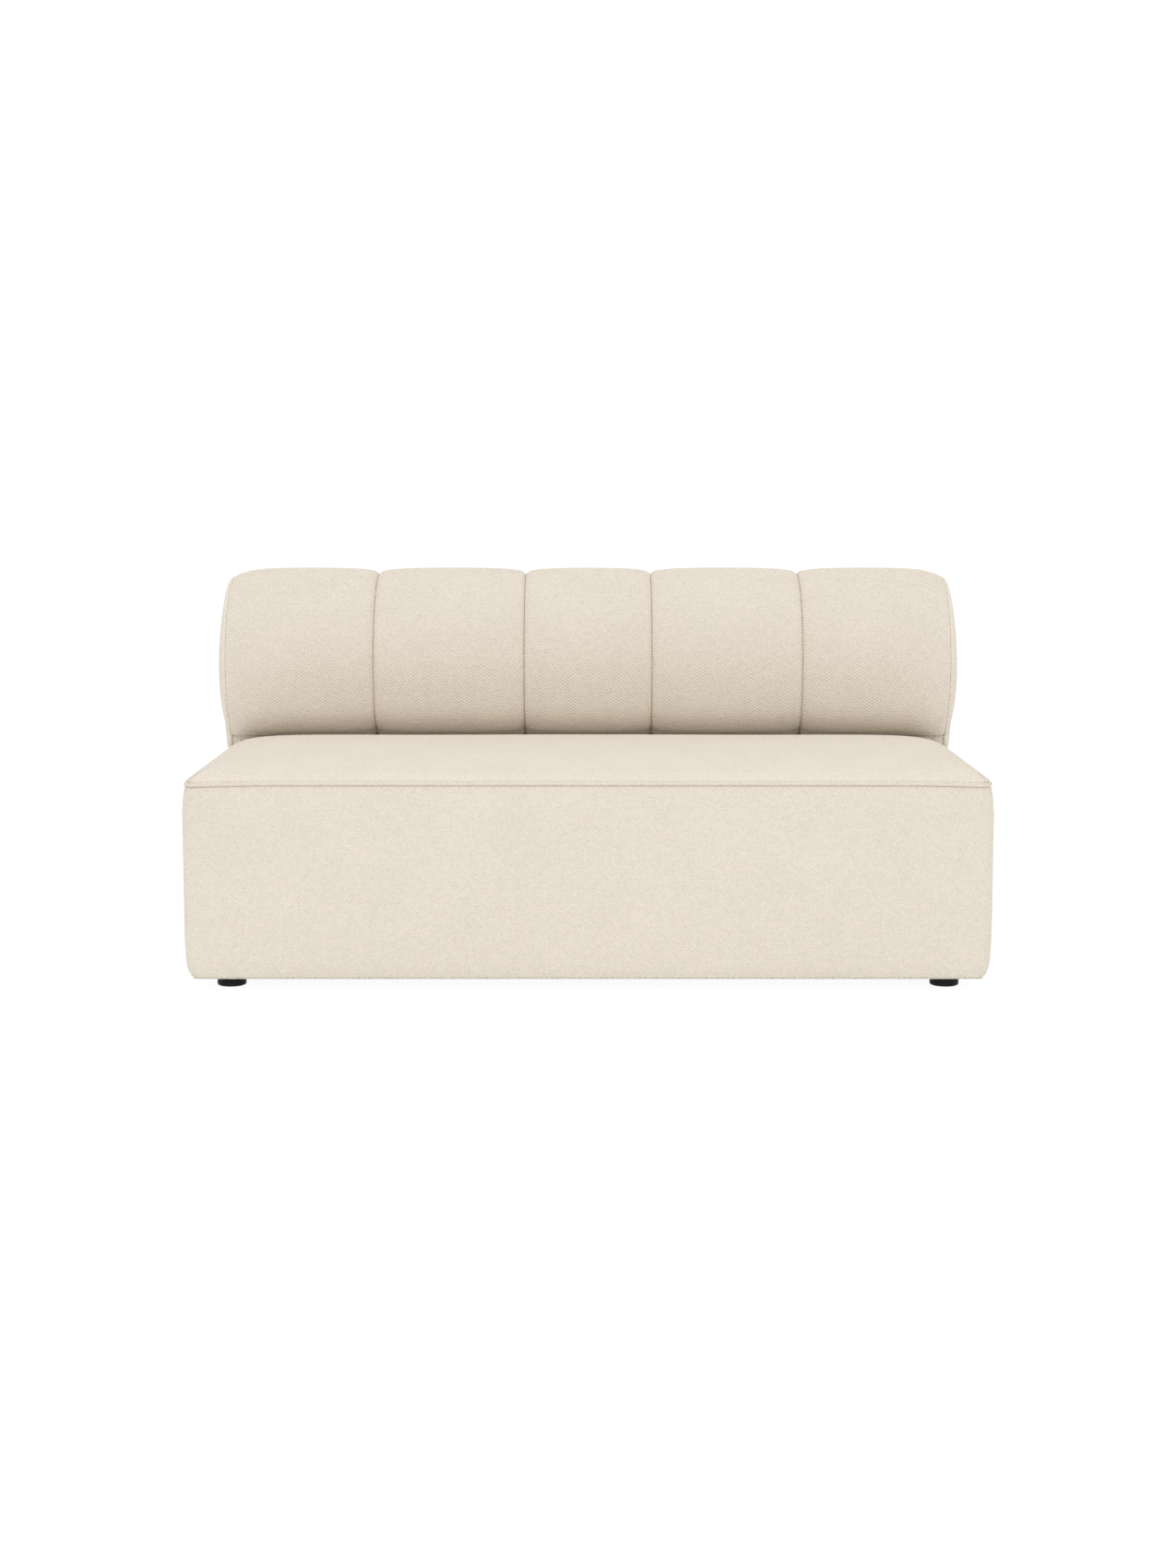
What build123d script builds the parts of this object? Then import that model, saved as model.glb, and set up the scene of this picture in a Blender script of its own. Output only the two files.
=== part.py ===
from build123d import *
from math import acos, cos, degrees, radians, sin, sqrt
import os

os.makedirs("parts", exist_ok=True)

# A straight module of a modular sofa: an upholstered box seat on four low glides,
# with a channelled roll back that overhangs the seat.
# X runs to the right, Y to the rear and Z up. The origin lies on the floor under the
# middle of the sofa. Sizes are in millimetres.

# Overall sizes
base_width = 1640.0
depth = 880.0
seam_height = 422.0

# Covers and foam round the wooden box
cover = 2.0
wrap = 15.0
wrap_drop = 17.0
corner_radius = 26.0
bottom_radius = 24.0
turn_under = 45.0
dust_cloth = 1.0
fold_gap = 2.0

# Plywood box under the seat
panel = 18.0
deck_height = 290.0
eased_edge = 10.0
seat_rail_setback = 20.0
cross_rail_x = 270.0
cross_rail_drop = 60.0
cross_slot_length = 420.0
cross_slot_width = 90.0
corner_block_leg = 160.0
block_height = 40.0
cleat = 40.0

# Webbing
strap = 2.0
strap_width = 50.0
short_strap_count = 11
short_strap_pitch = 140.0
long_strap_count = 4
long_strap_pitch = 130.0

# Glides
foot_height = 23.0
foot_radius = 30.0
foot_inset = 86.0
foot_edge = 4.0
foot_draft = 1.0
foot_hole_gap = 1.0
stud_radius = 4.0
stud_in_foot = 15.0
stud_in_block = 36.0
stud_play = 0.1

# Crowned seat
welt_radius = 4.0
seat_edge_rise = 6.0
seat_shoulder_run = 100.0
seat_shoulder_rise = 38.0
seat_crown_rise = 51.0
seat_long_crown_rise = 58.0
seat_neck_rise = 39.0
shoulder_run_share = 0.47
shoulder_rise_share = 0.78
crown_peak_share = 0.5

# Roll back, by the crowns of its channels
crown_radius = 214.0
rear_crown_radius = 154.0
neck_setback = 106.0
middle_channel = 283.0
inner_channel = 333.5
seam_pinch = 18.0
end_pinch = 23.0
crease_gap = 3.1
channel_shoulder = 20.0
channel_shoulder_drop = 6.0
pinch_run_share = 0.3
pinch_drop_share = 0.4
pad = 50.0
roll_foam = 16.0
roll_board = 4.0
glue_line = 0.3
seat_gap = 4.5

# Padded end panels
end_pad = 17.0
end_pad_edge = 15.0
end_dome = 10.0
end_dome_radius = 138.0
end_dome_back = 30.0
end_dome_lift = 17.0

# Back frame
neck_foam = 14.0
neck_board = 6.0
rear_board = 4.0
lightening_radius = 58.0
neck_slot_length = 130.0
neck_slot_width = 80.0
neck_slot_rise = 120.0
former_x = 400.0
batten_width = 44.0
batten_thickness = 28.0
top_batten_lift = 100.0
front_batten_reach = 100.0
low_batten_drop = 108.0
low_batten_back = 44.0

# Bolts that hold the back down
bolt_radius = 4.0
bolt_play = 0.2
bolt_head_radius = 7.5
bolt_head = 5.5
bolt_tail = 12.0
nut = 6.5
bolt_x_near = 200.0
bolt_x_far = 590.0

# Hooks and studs that link one module to the next
link_inset = 75.0
hook_end_gap = 16.0
link_plate_width = 54.0
link_plate_length = 84.0
link_plate_corner = 6.0
link_plate_thickness = 3.0
link_block_width = 80.0
link_block_length = 100.0
hook_half_width = 18.0
hook_thickness = 4.0
hook_play = 0.5
pin_radius = 5.0
pin_running_gap = 0.05
pin_head_radius = 9.0
pin_head = 3.0
notch_play = 0.6

# Gaps and overruns
clearance = 0.3
overrun = 10.0

# Planes and heights that follow
cover_x = base_width / 2
cover_y = depth / 2
frame_x = cover_x - cover - wrap
frame_y = cover_y - cover - wrap
frame_bottom = foot_height + cover
wrap_top = seam_height - wrap_drop
side_rail_top = deck_height - strap
webbing_top = deck_height + strap
foot_x = cover_x - foot_inset
foot_y = cover_y - foot_inset
welt_z = seam_height + welt_radius
welt_top = seam_height + 2 * welt_radius
seat_x = cover_x - 2 * welt_radius - clearance
seat_front = -cover_y + 2 * welt_radius + clearance
roll_y = cover_y - rear_crown_radius
neck_y = roll_y - neck_setback
seat_rail_y = neck_y + seat_rail_setback
end_radius = crown_radius - end_pinch
crease = seam_height + seat_neck_rise + crease_gap
roll_z = crease + sqrt(end_radius**2 - neck_setback**2)
height = roll_z + crown_radius
rear_z = height - rear_crown_radius
board_y = neck_y + cover + neck_foam
former_front = board_y + neck_board
back_board_top = deck_height + panel
former_inset = pad + roll_foam + roll_board + 2 * glue_line
former_radius = crown_radius - former_inset
former_rear_radius = rear_crown_radius - former_inset
former_rear = roll_y + former_rear_radius
seams_x = (
    -frame_x,
    -middle_channel / 2 - inner_channel,
    -middle_channel / 2,
    middle_channel / 2,
    middle_channel / 2 + inner_channel,
    frame_x,
)
pinches = (end_pinch, seam_pinch, seam_pinch, seam_pinch, seam_pinch, end_pinch)
corners = ((-1, -1, "front_left"), (1, -1, "front_right"), (-1, 1, "rear_left"), (1, 1, "rear_right"))


def keep(part, name):
    """Name a finished piece and write its file."""
    part.label = name
    export_step(part, f"parts/{name}.step")


# Front and rear rails of the box run its full width
for side, name in ((-1, "front_rail"), (1, "rear_rail")):
    with BuildPart() as long_rail:
        with BuildSketch(Plane.XY.offset(frame_bottom)):
            with Locations((0, side * (frame_y - panel / 2))):
                Rectangle(2 * frame_x, panel)
        extrude(amount=deck_height - frame_bottom)
        bottom_edges = long_rail.edges().group_by(Axis.Z)[0].sort_by(Axis.Y)
        fillet(bottom_edges[:-1] if side < 0 else bottom_edges[1:], radius=eased_edge)
    keep(long_rail.part, name)

# Side rails butt between them and stand one strap lower
for side, name in ((-1, "side_rail_left"), (1, "side_rail_right")):
    with BuildPart() as side_rail:
        with BuildSketch(Plane.XY.offset(frame_bottom)):
            with Locations((side * (frame_x - panel / 2), 0)):
                Rectangle(panel, 2 * (frame_y - panel))
        extrude(amount=side_rail_top - frame_bottom)
        bottom_edges = side_rail.edges().group_by(Axis.Z)[0].sort_by(Axis.X)
        fillet(bottom_edges[0] if side < 0 else bottom_edges[-1], radius=eased_edge)
    keep(side_rail.part, name)

# Inner rail that ends the seat deck in front of the back
with BuildPart() as seat_rail:
    with BuildSketch(Plane.XY.offset(frame_bottom)):
        with Locations((0, seat_rail_y + panel / 2)):
            Rectangle(2 * (frame_x - panel), panel)
    extrude(amount=deck_height - frame_bottom)
keep(seat_rail.part, "seat_rear_rail")

# Cross rails stay below the webbing and have a long slot
cross_top = deck_height - cross_rail_drop
cross_front = -frame_y + panel
for side, name in ((-1, "cross_rail_left"), (1, "cross_rail_right")):
    with BuildPart() as cross_rail:
        with BuildSketch(Plane.YZ.offset(side * cross_rail_x - panel / 2)):
            with Locations(((cross_front + seat_rail_y) / 2, (frame_bottom + cross_top) / 2)):
                Rectangle(seat_rail_y - cross_front, cross_top - frame_bottom)
                SlotOverall(cross_slot_length, cross_slot_width, mode=Mode.SUBTRACT)
        extrude(amount=panel)
    keep(cross_rail.part, name)

# Corner blocks carry the glides
for x_side, y_side, place in corners:
    inner_x = x_side * (frame_x - panel)
    inner_y = y_side * (frame_y - panel)
    with BuildPart() as corner_block:
        with BuildSketch(Plane.XY.offset(frame_bottom)):
            with BuildLine():
                Polyline(
                    (inner_x, inner_y),
                    (inner_x - x_side * corner_block_leg, inner_y),
                    (inner_x, inner_y - y_side * corner_block_leg),
                    close=True,
                )
            make_face()
            with Locations((x_side * foot_x, y_side * foot_y)):
                Circle(stud_radius + stud_play, mode=Mode.SUBTRACT)
        extrude(amount=block_height)
    keep(corner_block.part, "corner_block_" + place)

# Low moulded glides with a rounded lower edge and a blind hole for the stud
for x_side, y_side, place in corners:
    foot_place = (x_side * foot_x, y_side * foot_y, 0)
    with BuildPart() as foot:
        with BuildSketch(Plane(origin=foot_place, x_dir=(1, 0, 0), z_dir=(0, -1, 0))):
            with BuildLine():
                Polyline(
                    (0, 0),
                    (foot_radius, 0),
                    (foot_radius - foot_draft, frame_bottom),
                    (0, frame_bottom),
                    close=True,
                )
            make_face()
        revolve(axis=Axis(foot_place, (0, 0, 1)))
        fillet(foot.edges().group_by(Axis.Z)[0], radius=foot_edge)
        with BuildSketch(Plane.XY.offset(frame_bottom)):
            with Locations((x_side * foot_x, y_side * foot_y)):
                Circle(stud_radius + stud_play)
        extrude(amount=-stud_in_foot, mode=Mode.SUBTRACT)
    keep(foot.part, "foot_" + place)

# Steel studs from the glides into the corner blocks
with BuildPart() as foot_studs:
    with BuildSketch(Plane.XY.offset(frame_bottom - stud_in_foot)):
        with GridLocations(2 * foot_x, 2 * foot_y, 2, 2):
            Circle(stud_radius)
    extrude(amount=stud_in_foot + stud_in_block)
keep(foot_studs.part, "foot_studs")

# Elastic webbing: long straps over the side rails, short ones across them
deck_middle = (cross_front + seat_rail_y) / 2
with BuildPart() as long_straps:
    with BuildSketch(Plane.XY.offset(side_rail_top)):
        with Locations((0, deck_middle)):
            with GridLocations(0, long_strap_pitch, 1, long_strap_count):
                Rectangle(2 * frame_x, strap_width)
    extrude(amount=strap)
keep(long_straps.part, "webbing_lengthwise")

with BuildPart() as short_straps:
    with BuildSketch(Plane.XY.offset(deck_height)):
        with Locations((0, (seat_rail_y + panel - frame_y) / 2)):
            with GridLocations(short_strap_pitch, 0, short_strap_count, 1):
                Rectangle(strap_width, seat_rail_y + panel + frame_y)
    extrude(amount=strap)
keep(short_straps.part, "webbing_crosswise")


def rounded_block(inset, bottom, top):
    """Solid of the upholstered box at an inset from its cover, with a rounded bottom edge."""
    with BuildPart() as block:
        with BuildSketch(Plane.XY.offset(bottom)):
            RectangleRounded(2 * (cover_x - inset), 2 * (cover_y - inset), corner_radius - inset)
        extrude(amount=top - bottom)
        fillet(block.edges().group_by(Axis.Z)[0], radius=bottom_radius - inset)
    return block.part


# Foam wrapped round the box
with BuildPart() as wrap_foam:
    add(rounded_block(cover, frame_bottom, wrap_top))
    with BuildSketch(Plane.XY.offset(frame_bottom)):
        Rectangle(2 * frame_x, 2 * frame_y)
    extrude(amount=wrap_top - frame_bottom, mode=Mode.SUBTRACT)
keep(wrap_foam.part, "base_wrap_foam")

# Cover of the box, turned under its bottom edge
with BuildPart() as base_cover:
    add(rounded_block(0, foot_height, seam_height))
    add(rounded_block(cover, frame_bottom, seam_height + overrun), mode=Mode.SUBTRACT)
    with BuildSketch(Plane.XY.offset(foot_height)):
        Rectangle(2 * (cover_x - turn_under), 2 * (cover_y - turn_under))
    extrude(amount=overrun, mode=Mode.SUBTRACT)
keep(base_cover.part, "base_cover")

# Dust cloth under the box, cut out round the glides
with BuildPart() as dust_cover:
    with BuildSketch(Plane.XY.offset(frame_bottom - dust_cloth)):
        Rectangle(2 * (cover_x - turn_under - fold_gap), 2 * (cover_y - turn_under - fold_gap))
        with GridLocations(2 * foot_x, 2 * foot_y, 2, 2):
            Circle(foot_radius + foot_hole_gap, mode=Mode.SUBTRACT)
    extrude(amount=dust_cloth)
keep(dust_cover.part, "dust_cover")

# Firm foam block on the webbing
with BuildPart() as foam_core:
    with BuildSketch(Plane.XY.offset(webbing_top)):
        with Locations((0, (neck_y - frame_y) / 2)):
            Rectangle(2 * frame_x, neck_y + frame_y)
    extrude(amount=wrap_top - webbing_top)
keep(foam_core.part, "seat_foam_core")


def crown_block(inset, bottom):
    """Crowned seat: one crown along the seat and one across it, cut to each other."""
    half_x = seat_x - inset
    front = seat_front + inset
    edge = seam_height + seat_edge_rise - inset
    shoulder = seam_height + seat_shoulder_rise - inset
    crown = seam_height + seat_crown_rise - inset
    long_crown = seam_height + seat_long_crown_rise - inset
    bend_x = half_x - seat_shoulder_run
    bend_y = front + seat_shoulder_run
    arc_run = shoulder_run_share * seat_shoulder_run
    arc_z = edge + shoulder_rise_share * (shoulder - edge)
    with BuildPart() as block:
        with BuildSketch(Plane.XZ.offset(-neck_y)):
            with BuildLine():
                ThreePointArc((-half_x, edge), (-half_x + arc_run, arc_z), (-bend_x, shoulder))
                ThreePointArc((-bend_x, shoulder), (0, long_crown), (bend_x, shoulder))
                ThreePointArc((bend_x, shoulder), (half_x - arc_run, arc_z), (half_x, edge))
                Polyline((half_x, edge), (half_x, bottom), (-half_x, bottom), (-half_x, edge))
            make_face()
        extrude(amount=neck_y - front)
        with BuildSketch(Plane.YZ.offset(-half_x)):
            with BuildLine():
                neck = seam_height + seat_neck_rise - inset
                peak = bend_y + crown_peak_share * (neck_y - bend_y)
                ThreePointArc((front, edge), (front + arc_run, arc_z), (bend_y, shoulder))
                ThreePointArc((bend_y, shoulder), (peak, crown), (neck_y, neck))
                Polyline((neck_y, neck), (neck_y, bottom), (front, bottom), (front, edge))
            make_face()
        extrude(amount=2 * half_x, mode=Mode.INTERSECT)
        upright = block.edges().filter_by(Axis.Z)
        fillet(upright.group_by(Axis.Y)[0], radius=corner_radius - cover_x + half_x)
    return block.part


# Soft crowned layer and the cover sewn over it
with BuildPart() as comfort_layer:
    add(crown_block(cover, wrap_top))
keep(comfort_layer.part, "seat_comfort_layer")

skirt_bottom = seam_height - cover
with BuildPart() as seat_cover:
    add(crown_block(0, skirt_bottom))
    add(crown_block(cover, skirt_bottom - overrun), mode=Mode.SUBTRACT)
keep(seat_cover.part, "seat_cover")

# Self-fabric welt sewn into the seam round the top of the box
welt_x = cover_x - welt_radius
welt_y = cover_y - welt_radius
with BuildSketch(Plane.XY.offset(welt_z)) as welt_outline:
    RectangleRounded(2 * welt_x, 2 * welt_y, corner_radius - welt_radius)
welt_path = welt_outline.sketch.wires()[0]
with BuildPart() as welt:
    with BuildSketch(Plane(origin=welt_path @ 0, z_dir=welt_path % 0)):
        Circle(welt_radius)
    sweep(path=welt_path)
keep(welt.part, "base_welt")

# Cleats inside the box that take the bolts of the back
cleat_y = (seat_rail_y + panel + cleat / 2, frame_y - panel - cleat / 2)
bolts_x = (-bolt_x_far, -bolt_x_near, bolt_x_near, bolt_x_far)
bolt_places = [(x, y) for x in bolts_x for y in cleat_y]
for y, name in ((cleat_y[0], "cleat_front"), (cleat_y[1], "cleat_rear")):
    with BuildPart() as cleat_bar:
        with BuildSketch(Plane.XY.offset(deck_height - cleat)):
            with Locations((0, y)):
                Rectangle(2 * (frame_x - panel), cleat)
            with Locations([(x, y) for x in bolts_x]):
                Circle(bolt_radius + bolt_play, mode=Mode.SUBTRACT)
        extrude(amount=cleat)
    keep(cleat_bar.part, name)

# Board that the back stands on
back_board_front = seat_rail_y + panel
with BuildPart() as back_board:
    with BuildSketch(Plane.XY.offset(deck_height)):
        with Locations((0, (back_board_front + frame_y) / 2)):
            Rectangle(2 * frame_x, frame_y - back_board_front)
        with Locations(bolt_places):
            Circle(bolt_radius + bolt_play, mode=Mode.SUBTRACT)
    extrude(amount=panel)
keep(back_board.part, "back_base_board")

with BuildPart() as back_bolts:
    with BuildSketch(Plane.XY.offset(back_board_top)):
        with Locations(bolt_places):
            RegularPolygon(bolt_head_radius, 6)
    extrude(amount=bolt_head)
    with BuildSketch(Plane.XY.offset(back_board_top)):
        with Locations(bolt_places):
            Circle(bolt_radius)
    extrude(amount=-(panel + cleat + bolt_tail))
keep(back_bolts.part, "back_bolts")

with BuildPart() as back_nuts:
    with BuildSketch(Plane.XY.offset(deck_height - cleat)):
        with Locations(bolt_places):
            RegularPolygon(bolt_head_radius, 6)
            Circle(bolt_radius + stud_play, mode=Mode.SUBTRACT)
    extrude(amount=-nut)
keep(back_nuts.part, "back_nuts")

# Battens let through the formers
low_batten = (roll_y + low_batten_back, roll_z - low_batten_drop)
battens = (
    ("back_batten_top", (roll_y, roll_z + top_batten_lift), batten_width, batten_thickness),
    ("back_batten_front", (roll_y - front_batten_reach, roll_z), batten_thickness, batten_width),
    ("back_batten_low", low_batten, batten_width, batten_thickness),
)
for name, place, wide, high in battens:
    with BuildPart() as batten:
        with BuildSketch(Plane.YZ.offset(-frame_x)):
            with Locations(place):
                Rectangle(wide, high)
        extrude(amount=2 * frame_x)
    keep(batten.part, name)

# Plywood formers give the roll and the neck their outline
former_bend = roll_z - sqrt(former_radius**2 - (roll_y - former_front) ** 2)
diagonal_share = sin(radians(45))
former_places = (
    (-frame_x + panel / 2, "back_former_end_left"),
    (-former_x, "back_former_left"),
    (0, "back_former_middle"),
    (former_x, "back_former_right"),
    (frame_x - panel / 2, "back_former_end_right"),
)
for x, name in former_places:
    with BuildPart() as former:
        with BuildSketch(Plane.YZ.offset(x - panel / 2)):
            with BuildLine():
                ThreePointArc(
                    (former_front, former_bend),
                    (roll_y - former_radius, roll_z),
                    (roll_y, roll_z + former_radius),
                )
                ThreePointArc(
                    (roll_y, rear_z + former_rear_radius),
                    (
                        roll_y + diagonal_share * former_rear_radius,
                        rear_z + diagonal_share * former_rear_radius,
                    ),
                    (former_rear, rear_z),
                )
                Polyline(
                    (former_rear, rear_z),
                    (former_rear, wrap_top),
                    (frame_y, wrap_top),
                    (frame_y, back_board_top),
                    (former_front, back_board_top),
                    (former_front, former_bend),
                )
            make_face()
            with Locations((roll_y, roll_z)):
                Circle(lightening_radius, mode=Mode.SUBTRACT)
            with Locations((roll_y, back_board_top + neck_slot_rise)):
                SlotOverall(neck_slot_length, neck_slot_width, rotation=90, mode=Mode.SUBTRACT)
            for batten_name, place, wide, high in battens:
                with Locations(place):
                    Rectangle(wide, high, mode=Mode.SUBTRACT)
        extrude(amount=panel)
    keep(former.part, name)


# Angle from the top of the roll round its front to the neck
roll_sweep = 90 + degrees(acos(neck_setback / crown_radius))

# Space behind the neck, where the layers of the roll are cut off
with BuildPart() as behind_neck:
    with BuildSketch(Plane.YZ.offset(-frame_x - overrun)):
        with Locations((neck_y, roll_z)):
            Rectangle(neck_setback + crown_radius, crown_radius + overrun, align=(Align.MIN, Align.MAX))
    extrude(amount=2 * (frame_x + overrun))

# Bent board and foam round the formers
layers = (
    ("roll_board", pad + roll_foam + glue_line, roll_board),
    ("roll_foam", pad + glue_line, roll_foam - glue_line),
)
for name, inset, thickness in layers:
    with BuildPart() as layer:
        with BuildSketch(Plane.XZ.offset(-roll_y)) as layer_section:
            with Locations((0, height - inset - thickness / 2)):
                Rectangle(2 * frame_x, thickness)
        revolve(axis=Axis((0, roll_y, roll_z), (1, 0, 0)), revolution_arc=roll_sweep)
        revolve(layer_section.sketch, axis=Axis((0, roll_y, rear_z), (-1, 0, 0)), revolution_arc=90)
        add(behind_neck.part, mode=Mode.SUBTRACT)
    keep(layer.part, name)

# Five channels, crowned between their seams and pinched in steeply at each seam
pad_bottom = seam_height + seat_neck_rise + seat_gap
channel_names = (
    "back_channel_far_left",
    "back_channel_left",
    "back_channel_middle",
    "back_channel_right",
    "back_channel_far_right",
)
for index, name in enumerate(channel_names):
    left, right = seams_x[index], seams_x[index + 1]
    low_left = height - pinches[index]
    low_right = height - pinches[index + 1]
    shoulder = height - channel_shoulder_drop
    arc_left = shoulder - pinch_drop_share * (shoulder - low_left)
    arc_right = shoulder - pinch_drop_share * (shoulder - low_right)
    bend_left = left + channel_shoulder
    bend_right = right - channel_shoulder
    arc_run = pinch_run_share * channel_shoulder
    with BuildPart() as channel:
        with BuildSketch(Plane.XZ.offset(-roll_y)) as channel_section:
            with BuildLine():
                ThreePointArc((left, low_left), (left + arc_run, arc_left), (bend_left, shoulder))
                ThreePointArc((bend_left, shoulder), ((left + right) / 2, height), (bend_right, shoulder))
                ThreePointArc((bend_right, shoulder), (right - arc_run, arc_right), (right, low_right))
                Polyline((right, low_right), (right, height - pad), (left, height - pad), (left, low_left))
            make_face()
        revolve(axis=Axis((0, roll_y, roll_z), (1, 0, 0)), revolution_arc=roll_sweep)
        revolve(channel_section.sketch, axis=Axis((0, roll_y, rear_z), (-1, 0, 0)), revolution_arc=90)
        add(behind_neck.part, mode=Mode.SUBTRACT)
        with BuildSketch(Plane.XY.offset(pad_bottom)):
            with Locations((0, roll_y)):
                Rectangle(2 * (frame_x + overrun), 2 * (crown_radius + overrun))
        extrude(amount=-crown_radius, mode=Mode.SUBTRACT)
    keep(channel.part, name)

# Front of the neck: board, foam and cover, one behind the other
neck_top = former_bend
neck_layers = (
    ("neck_board", board_y, neck_board),
    ("neck_foam", neck_y + cover, neck_foam),
    ("neck_cover", neck_y, cover),
)
for name, front, thickness in neck_layers:
    with BuildPart() as neck_layer:
        with BuildSketch(Plane.XY.offset(back_board_top)):
            with Locations((0, front + thickness / 2)):
                Rectangle(2 * frame_x, thickness)
        extrude(amount=neck_top - back_board_top)
    keep(neck_layer.part, name)

# Rear of the back: board, foam and a plain cover rounded into the end seams
with BuildPart() as rear_panel:
    with BuildSketch(Plane.XY.offset(wrap_top)):
        with Locations((0, former_rear + rear_board / 2)):
            Rectangle(2 * frame_x, rear_board)
    extrude(amount=rear_z - wrap_top)
keep(rear_panel.part, "rear_board")


def rear_block(inset, bottom):
    """Rounded slab behind the rear board, at an inset from the rear cover."""
    front = former_rear + rear_board
    back = cover_y - inset
    with BuildPart() as block:
        with BuildSketch(Plane.XY.offset(bottom)):
            with Locations((0, (front + back) / 2)):
                Rectangle(2 * (frame_x - inset), back - front)
        extrude(amount=rear_z - bottom)
        fillet(block.edges().filter_by(Axis.Z).group_by(Axis.Y)[-1], radius=end_pinch - inset)
    return block.part


with BuildPart() as rear_foam:
    add(rear_block(cover, wrap_top))
    with BuildSketch(Plane.XY.offset(wrap_top)):
        with Locations((0, cover_y)):
            Rectangle(2 * cover_x, 2 * (2 * welt_radius + clearance))
    extrude(amount=welt_top - wrap_top, mode=Mode.SUBTRACT)
keep(rear_foam.part, "rear_foam")

with BuildPart() as rear_cover:
    add(rear_block(0, welt_top))
    add(rear_block(cover, welt_top - overrun), mode=Mode.SUBTRACT)
keep(rear_cover.part, "rear_cover")

# Padded end panels close the roll and the neck
end_rear_radius = rear_crown_radius - end_pinch
end_rear = roll_y + end_rear_radius
dome_y = roll_y - end_dome_back
dome_z = roll_z + end_dome_lift
with BuildPart() as end_right:
    with BuildSketch(Plane.YZ.offset(frame_x)):
        with BuildLine():
            ThreePointArc(
                (neck_y, crease),
                (roll_y - end_radius, roll_z),
                (roll_y, roll_z + end_radius),
            )
            ThreePointArc(
                (roll_y, rear_z + end_rear_radius),
                (roll_y + diagonal_share * end_rear_radius, rear_z + diagonal_share * end_rear_radius),
                (end_rear, rear_z),
            )
            Polyline((end_rear, rear_z), (end_rear, welt_top), (neck_y, welt_top), (neck_y, crease))
        make_face()
    extrude(amount=end_pad)
    fillet(end_right.faces().sort_by(Axis.X)[-1].edges(), radius=end_pad_edge)
    with BuildSketch(Plane.XZ.offset(-dome_y)):
        with BuildLine():
            TangentArc(
                (frame_x + end_pad + end_dome, dome_z),
                (frame_x + end_pad, dome_z + end_dome_radius),
                tangent=(0, 1),
            )
            Polyline(
                (frame_x + end_pad, dome_z + end_dome_radius),
                (frame_x + end_pad, dome_z),
                (frame_x + end_pad + end_dome, dome_z),
            )
        make_face()
    revolve(axis=Axis((0, dome_y, dome_z), (1, 0, 0)))
    with BuildSketch(Plane.XY.offset(wrap_top)):
        with Locations(((frame_x + seat_x) / 2, (neck_y + end_rear) / 2)):
            Rectangle(seat_x - frame_x, end_rear - neck_y)
    extrude(amount=welt_top - wrap_top)
keep(end_right.part, "end_panel_right")

with BuildPart() as end_left:
    mirror(end_right.part, about=Plane.YZ)
keep(end_left.part, "end_panel_left")

# Blocks inside the box and plates under it for the links between modules
link_x = cover_x - link_inset
hook_reach = 2 * link_inset
link_y = foot_y - foot_radius - hook_end_gap - hook_half_width - hook_reach
plate_top = frame_bottom - dust_cloth
hook_top = plate_top - link_plate_thickness - hook_play
hook_bottom = hook_top - hook_thickness
pin_head_top = hook_bottom - clearance
with BuildPart() as link_blocks:
    with BuildSketch(Plane.XY.offset(frame_bottom)):
        with GridLocations(2 * (frame_x - panel) - link_block_width, 2 * link_y, 2, 2):
            Rectangle(link_block_width, link_block_length)
    extrude(amount=block_height)
keep(link_blocks.part, "link_blocks")

link_plates = (
    (-1, -1, "link_pivot_plate_front"),
    (-1, 1, "link_pivot_plate_rear"),
    (1, -1, "link_stud_plate_front"),
    (1, 1, "link_stud_plate_rear"),
)
for x_side, y_side, name in link_plates:
    link_place = (x_side * link_x, y_side * link_y)
    with BuildPart() as link_plate:
        with BuildSketch(Plane.XY.offset(plate_top)):
            with Locations(link_place):
                RectangleRounded(link_plate_width, link_plate_length, link_plate_corner)
        extrude(amount=-link_plate_thickness)
        with BuildSketch(Plane.XY.offset(plate_top)):
            with Locations(link_place):
                Circle(pin_radius)
        extrude(amount=-(plate_top - pin_head_top))
        with BuildSketch(Plane.XY.offset(pin_head_top)):
            with Locations(link_place):
                Circle(pin_head_radius)
        extrude(amount=-pin_head)
    keep(link_plate.part, name)

# Swinging hooks, stowed along the left side, each with a notch for the next module's stud
for y_side, name in ((-1, "link_hook_front"), (1, "link_hook_rear")):
    pivot = (-link_x, y_side * link_y)
    notch = (-link_x, y_side * (link_y + hook_reach))
    with BuildPart() as hook:
        with BuildSketch(Plane.XY.offset(hook_bottom)):
            with Locations(((pivot[0] + notch[0]) / 2, (pivot[1] + notch[1]) / 2)):
                SlotCenterToCenter(hook_reach, 2 * hook_half_width, rotation=90)
            with Locations(pivot):
                Circle(pin_radius + pin_running_gap, mode=Mode.SUBTRACT)
            with Locations(notch):
                Circle(pin_radius + notch_play, mode=Mode.SUBTRACT)
                Rectangle(
                    hook_half_width + overrun,
                    2 * (pin_radius + notch_play),
                    align=(Align.MAX, Align.CENTER),
                    mode=Mode.SUBTRACT,
                )
        extrude(amount=hook_thickness)
    keep(hook.part, name)
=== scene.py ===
import math

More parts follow.
